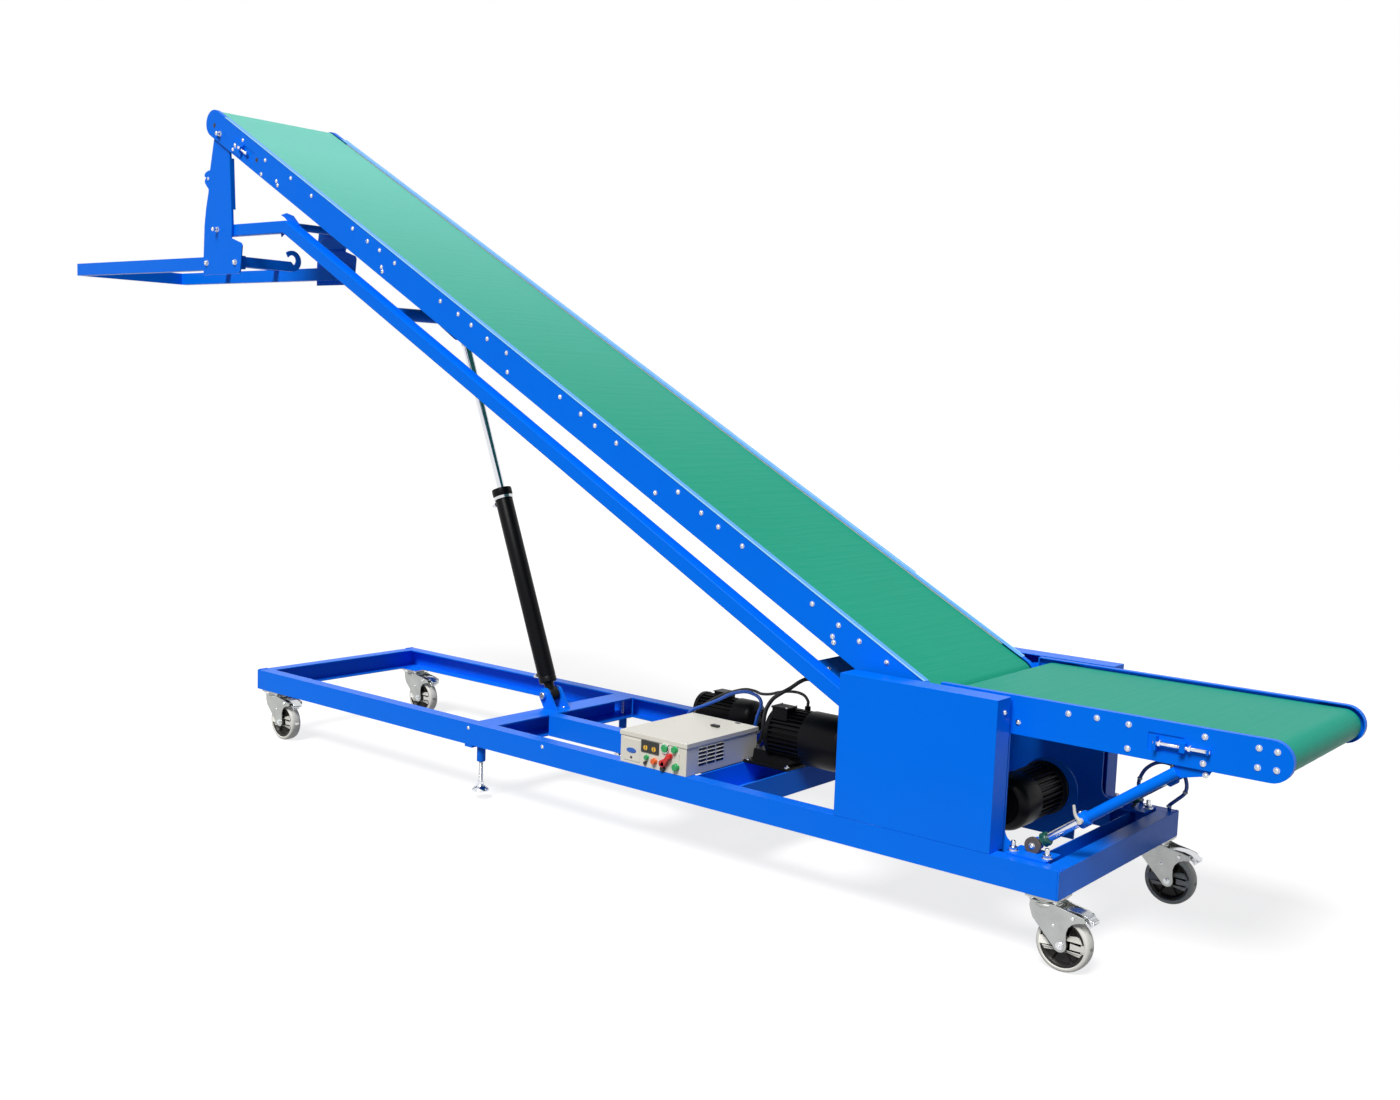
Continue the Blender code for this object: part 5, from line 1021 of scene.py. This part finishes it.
for side_name, side in SIDES:
    out = (0, side, 0)
    sheet = plate(arc(HEAD_PIN, 0.045, -10, 190, 16) + PLATE_LEFT + PLATE_RIGHT, side * 0.294,
                  side * PLATE_SIDE)
    lip = plate([(-2.2095, 2.4600), (-2.2048, 2.4600), (-2.1942, 2.3123), (-2.1855, 2.1435),
                 (-2.1883, 2.0900), (-2.1933, 2.0900), (-2.1915, 2.1435), (-2.2002, 2.3123)],
                side * 0.2890, side * 0.2995)
    deep_lip = plate([(-2.2065, 2.4206), (-2.2010, 2.4206), (-2.1890, 2.2056), (-2.1945, 2.2056)],
                     side * 0.278, side * 0.2995)
    pins = [pin(0.010, 0, 0.019, (HEAD_PIN[0], side * 0.2955, HEAD_PIN[1]), out),
            pin(0.010, 0, 0.034, (LINK_HEAD_PIN[0], side * 0.264, LINK_HEAD_PIN[1]), out)]
    piece(f"head_plate_{side_name}_cut", [sheet, lip, deep_lip, *pins], BLUE_PAINT, "head_carrier",
          [f"head_plate_{side_name}"], edge=0.0010)
    bolts = long_bolt((-2.2600, side * (BOOM_SIDE + 0.0003), 2.5240), side, 0.016)
    bolts += long_bolt((-2.2935, side * PLATE_SIDE, 2.1240), side, 0.022)
    for x, z in HEAD_BOLTS:
        bolts += hex_nut((x, side * PLATE_SIDE, z), out, 0.0105, 0.005)
        bolts.append(bolt_head((x, side * (PLATE_SIDE + 0.006), z), out, 0.0092))
    bolts.append(bolt_head((-2.3640, side * PLATE_SIDE, 2.3440), out, 0.0070))
    piece(f"head_plate_bolts_{side_name}", bolts, BRIGHT_ZINC, "head_carrier")


# Tray frame: box rails and a tip plate welded up as an open frame, with thin straps across its top
# and two hooks for cables cut from flat bar
TRAY_TIP, TRAY_END, TRAY_LOW, TRAY_TOP = -3.505, -2.135, 1.9536, 2.0106
TRAY_OUTER, TRAY_INNER = 0.2937, 0.2637
rails = [block((TRAY_TIP, -TRAY_OUTER, TRAY_LOW), (TRAY_END, -TRAY_INNER, TRAY_TOP)),
         block((TRAY_TIP, TRAY_INNER, TRAY_LOW), (TRAY_END, TRAY_OUTER, TRAY_TOP)),
         block((TRAY_TIP, -0.2700, TRAY_LOW), (TRAY_TIP + 0.006, 0.2700, TRAY_TOP))]
rails += [block((x, -0.2700, TRAY_TOP - 0.005), (x + 0.040, 0.2700, TRAY_TOP - 0.0005))
          for x in (-3.095, -2.695)]
HOOK_X = -2.165
near_hook = [(-0.2700, TRAY_LOW + 0.012), *arc((-0.014, TRAY_LOW + 0.058), 0.046, -90, 130, 22),
             *arc((-0.014, TRAY_LOW + 0.062), 0.022, 150, -70, 18), (-0.020, TRAY_LOW + 0.055),
             (-0.2700, TRAY_LOW + 0.055)]
far_hook = [(0.2700, TRAY_LOW + 0.038), *arc((0.204, TRAY_LOW + 0.058), 0.020, 270, 70, 18),
            *arc((0.204, TRAY_LOW + 0.058), 0.010, 80, 270, 14), (0.2700, TRAY_LOW + 0.048)]
rails += [plate(near_hook, HOOK_X, HOOK_X + 0.010, "YZ"), plate(far_hook, HOOK_X, HOOK_X + 0.028, "YZ")]
piece("tray_frame_welded", rails, BLUE_PAINT, "head_carrier", ["tray_frame"], edge=0.0010)


# Lift cylinder: a painted barrel with welded end caps and ports, a chromed rod, and eyes at both ends
PISTON_FOOT = np.array([-0.495, 0.0, 0.330])
PISTON_EYE = np.array([-1.036, 0.0, 1.700])
REACH = float(np.linalg.norm(PISTON_EYE - PISTON_FOOT))
LIFT = (PISTON_EYE - PISTON_FOOT) / REACH
SIDEWAYS = np.cross(LIFT, (0, 1, 0))
PORTS = (0.085, 0.775)
barrel = [turned([(0, 0.045), (0.0300, 0.045), (0.0340, 0.049), (0.0340, 0.066), (0.0325, 0.069),
                  (0.0340, 0.072), (0.0340, 0.780), (0.0325, 0.783), (0.0340, 0.786), (0.0340, 0.796),
                  (0.0385, 0.799), (0.0390, 0.803), (0.0390, 0.822), (0.0375, 0.826), (0.0200, 0.826),
                  (0.0190, 0.829), (0.0168, 0.829), (0.0168, 0.790), (0, 0.790)], PISTON_FOOT, LIFT, 48),
          turned([(0, -0.022), (0.0235, -0.022), (0.0250, -0.0205), (0.0250, 0.0205), (0.0235, 0.022),
                  (0, 0.022)], PISTON_FOOT, BACK, 36),
          swept([PISTON_FOOT + LIFT * 0.012, PISTON_FOOT + LIFT * 0.050], 0.019, 20)]
for along in PORTS:
    spot = PISTON_FOOT + LIFT * along
    barrel.append(turned([(0, 0.046), (0.0095, 0.046), (0.0110, 0.044), (0.0115, 0.028), (0, 0.028)],
                         spot, SIDEWAYS, 20))
piece("lift_barrel", barrel, BLACK_ENAMEL, "cylinder_barrel", ["cylinder_barrel"])
fittings = []
for along in PORTS:
    spot = PISTON_FOOT + LIFT * along + SIDEWAYS * 0.046
    fittings.append(turned([(0.0085, 0.010), (0.0095, 0.0085), (0.0095, 0.0), (0, 0.0)], spot, SIDEWAYS, 6))
    fittings.append(turned([(0, 0.020), (0.0055, 0.020), (0.0060, 0.010), (0, 0.010)], spot, SIDEWAYS, 14))
fittings.append(ring([(0.0345, 0.783), (0.0375, 0.784), (0.0375, 0.795), (0.0345, 0.796)],
                     PISTON_FOOT, LIFT, 40))
piece("barrel_fittings", fittings, BRIGHT_ZINC, "cylinder_barrel")
rod = [turned([(0, 0.640), (0.0160, 0.640), (0.0160, REACH - 0.030), (0.0150, REACH - 0.026),
               (0, REACH - 0.026)], PISTON_FOOT, LIFT, 36)]
piece("lift_rod", rod, CHROME, "cylinder_rod", ["cylinder_rod"])
eye_parts = [turned([(0, -0.0150), (0.0265, -0.0150), (0.0280, -0.0135), (0.0280, 0.0135),
                     (0.0265, 0.0150), (0, 0.0150)], PISTON_EYE, BACK, 40),
             turned([(0, REACH - 0.052), (0.0165, REACH - 0.052), (0.0185, REACH - 0.048),
                     (0.0185, REACH - 0.026), (0.0150, REACH - 0.018), (0, REACH - 0.018)],
                    PISTON_FOOT, LIFT, 28)]
piece("rod_eye", eye_parts, ZINC_PRESSING, "cylinder_rod", edge=0.0005)
foot_pin = [turned([(0, -0.052), (0.0110, -0.052), (0.0125, -0.0505), (0.0125, 0.0505), (0.0110, 0.052),
                    (0, 0.052)], PISTON_FOOT, BACK, 24)]
foot_pin += [bolt_head((-0.455, side * 0.030, 0.2805), UP, 0.007) for side in (-1, 1)]
piece("cylinder_foot_pin", foot_pin, BRIGHT_ZINC, "base")


# Side braces: a plate bolted on the rail, a teal rubber collar on a bright zinc rod, and a tube with
# a clamp lever, welded by a gusset to the infeed's side
RUBBER_PAD = finish("brown_pad", (92, 84, 78), (70, 64, 60), (0.45, 0.6), grain=500, dust=0.1)
TEAL_RUBBER = finish("teal_rubber", (4, 86, 74), (2, 70, 62), (0.3, 0.42), grain=400, dust=0.0)
LEAN = radians(36.4)
UP_BRACE = np.array([cos(LEAN), 0, sin(LEAN)])
OFF_BRACE = np.array([-sin(LEAN), 0, cos(LEAN)])
BRACE_FOOT_Z, CLAMP_ALONG = 0.305, 0.165
PAN_TOP, PAN_HEIGHT = 0.7084, 0.108
TUBE_END = (PAN_TOP - PAN_HEIGHT - 0.0195 - BRACE_FOOT_Z) / sin(LEAN)   # just short of the infeed's pan
for side_name, side in SIDES:
    out = (0, side, 0)
    foot = np.array([1.690, side * 0.304, BRACE_FOOT_Z])
    rod = [turned([(0, 0.0125), (0.0120, 0.0125), (0.0128, 0.0140), (0.0128, 0.185), (0, 0.185)],
                  foot, UP_BRACE, 32)]
    piece(f"brace_rod_{side_name}_bright", rod, BRIGHT_ZINC, "base",
          [f"brace_rod_{side_name}"])
    collar = [turned([(0.0129, 0.024), (0.0175, 0.024), (0.0205, 0.026), (0.0190, 0.031), (0.0205, 0.036),
                      (0.0190, 0.041), (0.0175, 0.043), (0.0129, 0.043)], foot, UP_BRACE, 32)]
    piece(f"brace_collar_{side_name}", collar, TEAL_RUBBER, "base")
    pad = [turned([(0, -0.006), (0.0225, -0.006), (0.0240, -0.004), (0.0240, 0.004), (0.0225, 0.006),
                   (0, 0.006)], foot + np.array([0, side * 0.0215, 0]), BACK, 32)]
    piece(f"brace_pad_{side_name}", pad, RUBBER_PAD, "base")
    fixings = [bolt_head(foot + np.array([0, side * 0.0275, 0]), out, 0.0085)]
    for x in (1.641, 1.742):
        fixings.extend(hex_nut((x, side * 0.345, 0.2863), UP, 0.0125, 0.0105))
        fixings.append(turned([(0, 0.017), (0.0058, 0.0165), (0.0068, 0.0150), (0.0068, 0.0), (0, 0.0)],
                              (x, side * 0.345, 0.2960), UP, 16))
    fixings.append(bolt_head((2.140, side * 0.3085, 0.5865), out, 0.0075))
    fixings.append(bolt_head(foot + UP_BRACE * CLAMP_ALONG + OFF_BRACE * 0.0208, OFF_BRACE, 0.006))
    piece(f"brace_fixings_{side_name}", fixings, BRIGHT_ZINC, "base")
    tube = [turned([(0.0129, 0.150), (0.0205, 0.150), (0.0212, 0.152), (0.0212, 0.178), (0.0202, 0.180),
                    (0.0152, 0.181), (0.0152, TUBE_END), (0.0140, TUBE_END + 0.002),
                    (0, TUBE_END + 0.002)], foot, UP_BRACE, 32)]
    end = foot + UP_BRACE * TUBE_END
    web = [(end[0] - 0.030, end[2] - 0.024), (end[0] + 0.008, end[2] - 0.014), (end[0] + 0.082, 0.585),
           (end[0] + 0.090, 0.600), (end[0] - 0.004, 0.600)]
    tube.append(plate(web, side * 0.300, side * 0.308))
    piece(f"brace_tube_{side_name}_welded", tube, BLUE_PAINT, "base",
          [f"brace_tube_{side_name}"], edge=0.0008)
    hold = foot + UP_BRACE * CLAMP_ALONG + np.array([0, side * 0.0215, 0])
    bend = [hold + (0, side * 0.006, 0), hold + OFF_BRACE * 0.020 + (0, side * 0.010, 0),
            hold + OFF_BRACE * 0.044 + UP_BRACE * 0.012 + (0, side * 0.013, 0)]
    lever = [turned([(0, -0.004), (0.0075, -0.004), (0.0085, 0.002), (0.0080, 0.010), (0, 0.011)],
                    hold, out, 20),
             swept(smooth_route(bend, 5), np.linspace(0.0055, 0.0038, 11), 14)]
    piece(f"brace_lever_{side_name}", lever, CREAM, "base")


# Take-ups: a threaded screw through a welded lug beside each window, with a nut on either side
def screw_along(start, direction, length, radius=0.0055):
    """Threaded rod: radius(s) = r - 0.35 mm * (1 - cos(2 pi s / 2 mm)) along its line."""
    steps = int(length / 0.0005)
    s = np.linspace(0, length, steps)
    radii = radius - 0.00035 * (1 - np.cos(2 * pi * s / 0.002))
    return swept(np.array(start) + s[:, None] * np.array(direction, float), radii, 12)


for side_name, side in SIDES:
    y = side * (INFEED_SIDE + 0.009)
    inside, outside = side * (INFEED_SIDE - 0.001), side * (INFEED_SIDE + 0.018)
    screw = [screw_along((2.004, y, 0.651), ALONG_X, 0.149)]
    screw += [turned([(0.0092, 0.007), (0.0100, 0.006), (0.0100, 0.001), (0.0092, 0.0)], (x, y, 0.651),
                     ALONG_X, 6) for x in (2.018, 2.097)]
    piece(f"infeed_take_up_screw_{side_name}", screw, CHROME, "base")
    low_y, high_y = sorted((inside, outside))
    last_y = INFEED_SIDE + 0.014 if side > 0 else high_y
    lugs = [block((2.076, low_y, 0.638), (2.090, high_y, 0.664)),
            block((2.008, low_y, 0.632), (2.014, high_y, 0.670)),
            block((2.146, low_y, 0.644), (2.152, last_y, 0.658))]
    low_y, high_y = sorted((side * (INFEED_SIDE - 0.022), side * (INFEED_SIDE - 0.005)))
    lugs.append(block((1.990, low_y, 0.631), (2.020, high_y, 0.671)))
    piece(f"infeed_take_up_lugs_{side_name}", lugs, BLUE_PAINT, "base", edge=0.0008)
    y = side * (BOOM_SIDE + 0.008)
    up_screw = [screw_along(on_boom(3.800, y, -0.010), UP_BOOM, 0.072, 0.005)]
    up_screw += [turned([(0.0082, 0.006), (0.0090, 0.005), (0.0090, 0.001), (0.0082, 0.0)],
                        on_boom(along, y, -0.010), UP_BOOM, 6) for along in (3.806, 3.858)]
    up_screw += [bolt_head(on_boom(along, side * (BOOM_SIDE + 0.004), off), (0, side, 0), 0.0075)
                 for along, off in ((3.902, -0.014), (3.908, -0.036))]
    piece(f"boom_take_up_screw_{side_name}", up_screw, CHROME, "boom")
    inside = side * (BOOM_SIDE - 0.001)
    bracket = [boom_strip((3.845, -0.046), (3.920, 0.014), inside, side * (BOOM_SIDE + 0.004)),
               boom_strip((3.845, -0.024), (3.851, 0.004), inside, side * (BOOM_SIDE + 0.016))]
    piece(f"boom_take_up_bracket_{side_name}", bracket, BLUE_PAINT, "boom", edge=0.0008)
    boom_back = boom_strip((3.752, -0.030), (3.848, 0.014), side * (BOOM_SIDE - 0.0040),
                           side * (BOOM_SIDE - 0.0030))
    piece(f"boom_window_back_{side_name}", [boom_back], BLUE_PAINT, "boom")
    infeed_back = plate([(1.983, 0.624), (2.084, 0.624), (2.084, 0.678), (1.983, 0.678)],
                        side * (INFEED_SIDE - 0.0040), side * (INFEED_SIDE - 0.0030))
    piece(f"infeed_window_back_{side_name}", [infeed_back], BLUE_PAINT, "base")
    # The boom side's slot and round hole are dark plates proud of the side: painted shade in place of the
    # openings.
    proud = side * (BOOM_SIDE + 0.0008)
    hole_shades = [boom_strip((4.082, -0.014), (4.096, 0.003), inside, proud),
             boom_plate(arc((3.735, -0.006), 0.009, 0, 345, 20), inside, proud)]
    piece(f"boom_side_hole_shades_{side_name}", hole_shades, DARK_PLASTIC_AND_HOLE_SHADE, "boom")


# Small blue foot brackets beside each levelling screw, and clips on the hose loop at the rail
for side_name, side in SIDES:
    low_y, high_y = sorted((side * 0.360, side * 0.414))
    pads = [block((-0.520, low_y, 0.1905), (-0.4815, high_y, 0.1998)),
            turned([(0, 0.140), (0.0150, 0.140), (0.0160, 0.142), (0.0160, 0.1998), (0.0155, 0.1999),
                    (0, 0.1999)], (FOOT_X, side * FOOT_Y, 0), UP, 28)]
    piece(f"foot_bracket_{side_name}", pads, BLUE_PAINT, "base", edge=0.001)
clips = []
for share in (0.12, 0.30, 0.72, 0.88):
    index = int(share * (len(rail_loop_route) - 2))
    spot, ahead = rail_loop_route[index], rail_loop_route[index + 1] - rail_loop_route[index]
    clips.append(turned([(0.0062, -0.003), (0.0078, -0.003), (0.0082, 0.0), (0.0078, 0.003),
                         (0.0062, 0.003)], spot, ahead, 18))
WHITE_NYLON = finish("white_nylon", (226, 228, 228), (212, 214, 216), (0.35, 0.5), grain=600, dust=0.0)
piece("hose_clips", clips, WHITE_NYLON, "base")


# Floor and light: a white sweep that keeps the machine's shadow, a soft sun high behind the camera
# and a little to its left, and an even pale sky.
def looking(tree):
    """1 for the rays that see a backdrop directly, in a mirror or through glass, else 0."""
    path = add_node(tree, "LightPath").outputs
    total = path["Is Camera Ray"]
    for name in ("Is Glossy Ray", "Is Transmission Ray"):
        total = add_node(tree, "Math", {0: total, 1: path[name]}, operation="MAXIMUM").outputs["Value"]
    return total


def make_floor(size=40.0):
    """A level sheet, white by its own glow where it is looked at, and grey where it only sends light on."""
    mesh = bpy.data.meshes.new("floor")
    mesh.from_pydata([(-size, -size, 0), (size, -size, 0), (size, size, 0), (-size, size, 0)], [],
                     [(0, 1, 2, 3)])
    paper = bpy.data.materials.new("white_sweep")
    paper.use_nodes = True
    tree = paper.node_tree
    tree.nodes.remove(tree.nodes["Principled BSDF"])
    matt = add_node(tree, "BsdfDiffuse", {"Color": (0.24, 0.24, 0.24, 1)})
    seen = add_node(tree, "BsdfDiffuse", {"Color": (0.30, 0.30, 0.30, 1)})
    glow = add_node(tree, "Emission", {"Strength": 0.80})
    both = add_node(tree, "AddShader", {0: seen.outputs["BSDF"], 1: glow.outputs["Emission"]})
    switch = add_node(tree, "MixShader", {"Fac": looking(tree), 1: matt.outputs["BSDF"],
                                          2: both.outputs["Shader"]})
    tree.links.new(switch.outputs["Shader"], tree.nodes["Material Output"].inputs["Surface"])
    mesh.materials.append(paper)
    floor = bpy.data.objects.new("floor", mesh)
    bpy.context.scene.collection.objects.link(floor)


make_floor()
sky = bpy.data.worlds.new("sky")
bpy.context.scene.world = sky
sky.use_nodes = True
tree = sky.node_tree
pale = tree.nodes["Background"]
pale.inputs["Color"].default_value = (0.92, 0.96, 1.0, 1)
pale.inputs["Strength"].default_value = 0.17
white = add_node(tree, "Background", {"Color": (1, 1, 1, 1), "Strength": 1.0})
switch = add_node(tree, "MixShader", {"Fac": looking(tree), 1: pale.outputs["Background"],
                                      2: white.outputs["Background"]})
tree.links.new(switch.outputs["Shader"], tree.nodes["World Output"].inputs["Surface"])

sun = bpy.data.lights.new("key", "SUN")
sun.energy = 3.5
sun.angle = radians(24)
sun.color = (1.0, 0.98, 0.95)
key = bpy.data.objects.new("key", sun)
key.rotation_euler = (radians(38), 0, radians(14))
bpy.context.scene.collection.objects.link(key)
bpy.context.scene.view_settings.view_transform = "Standard"
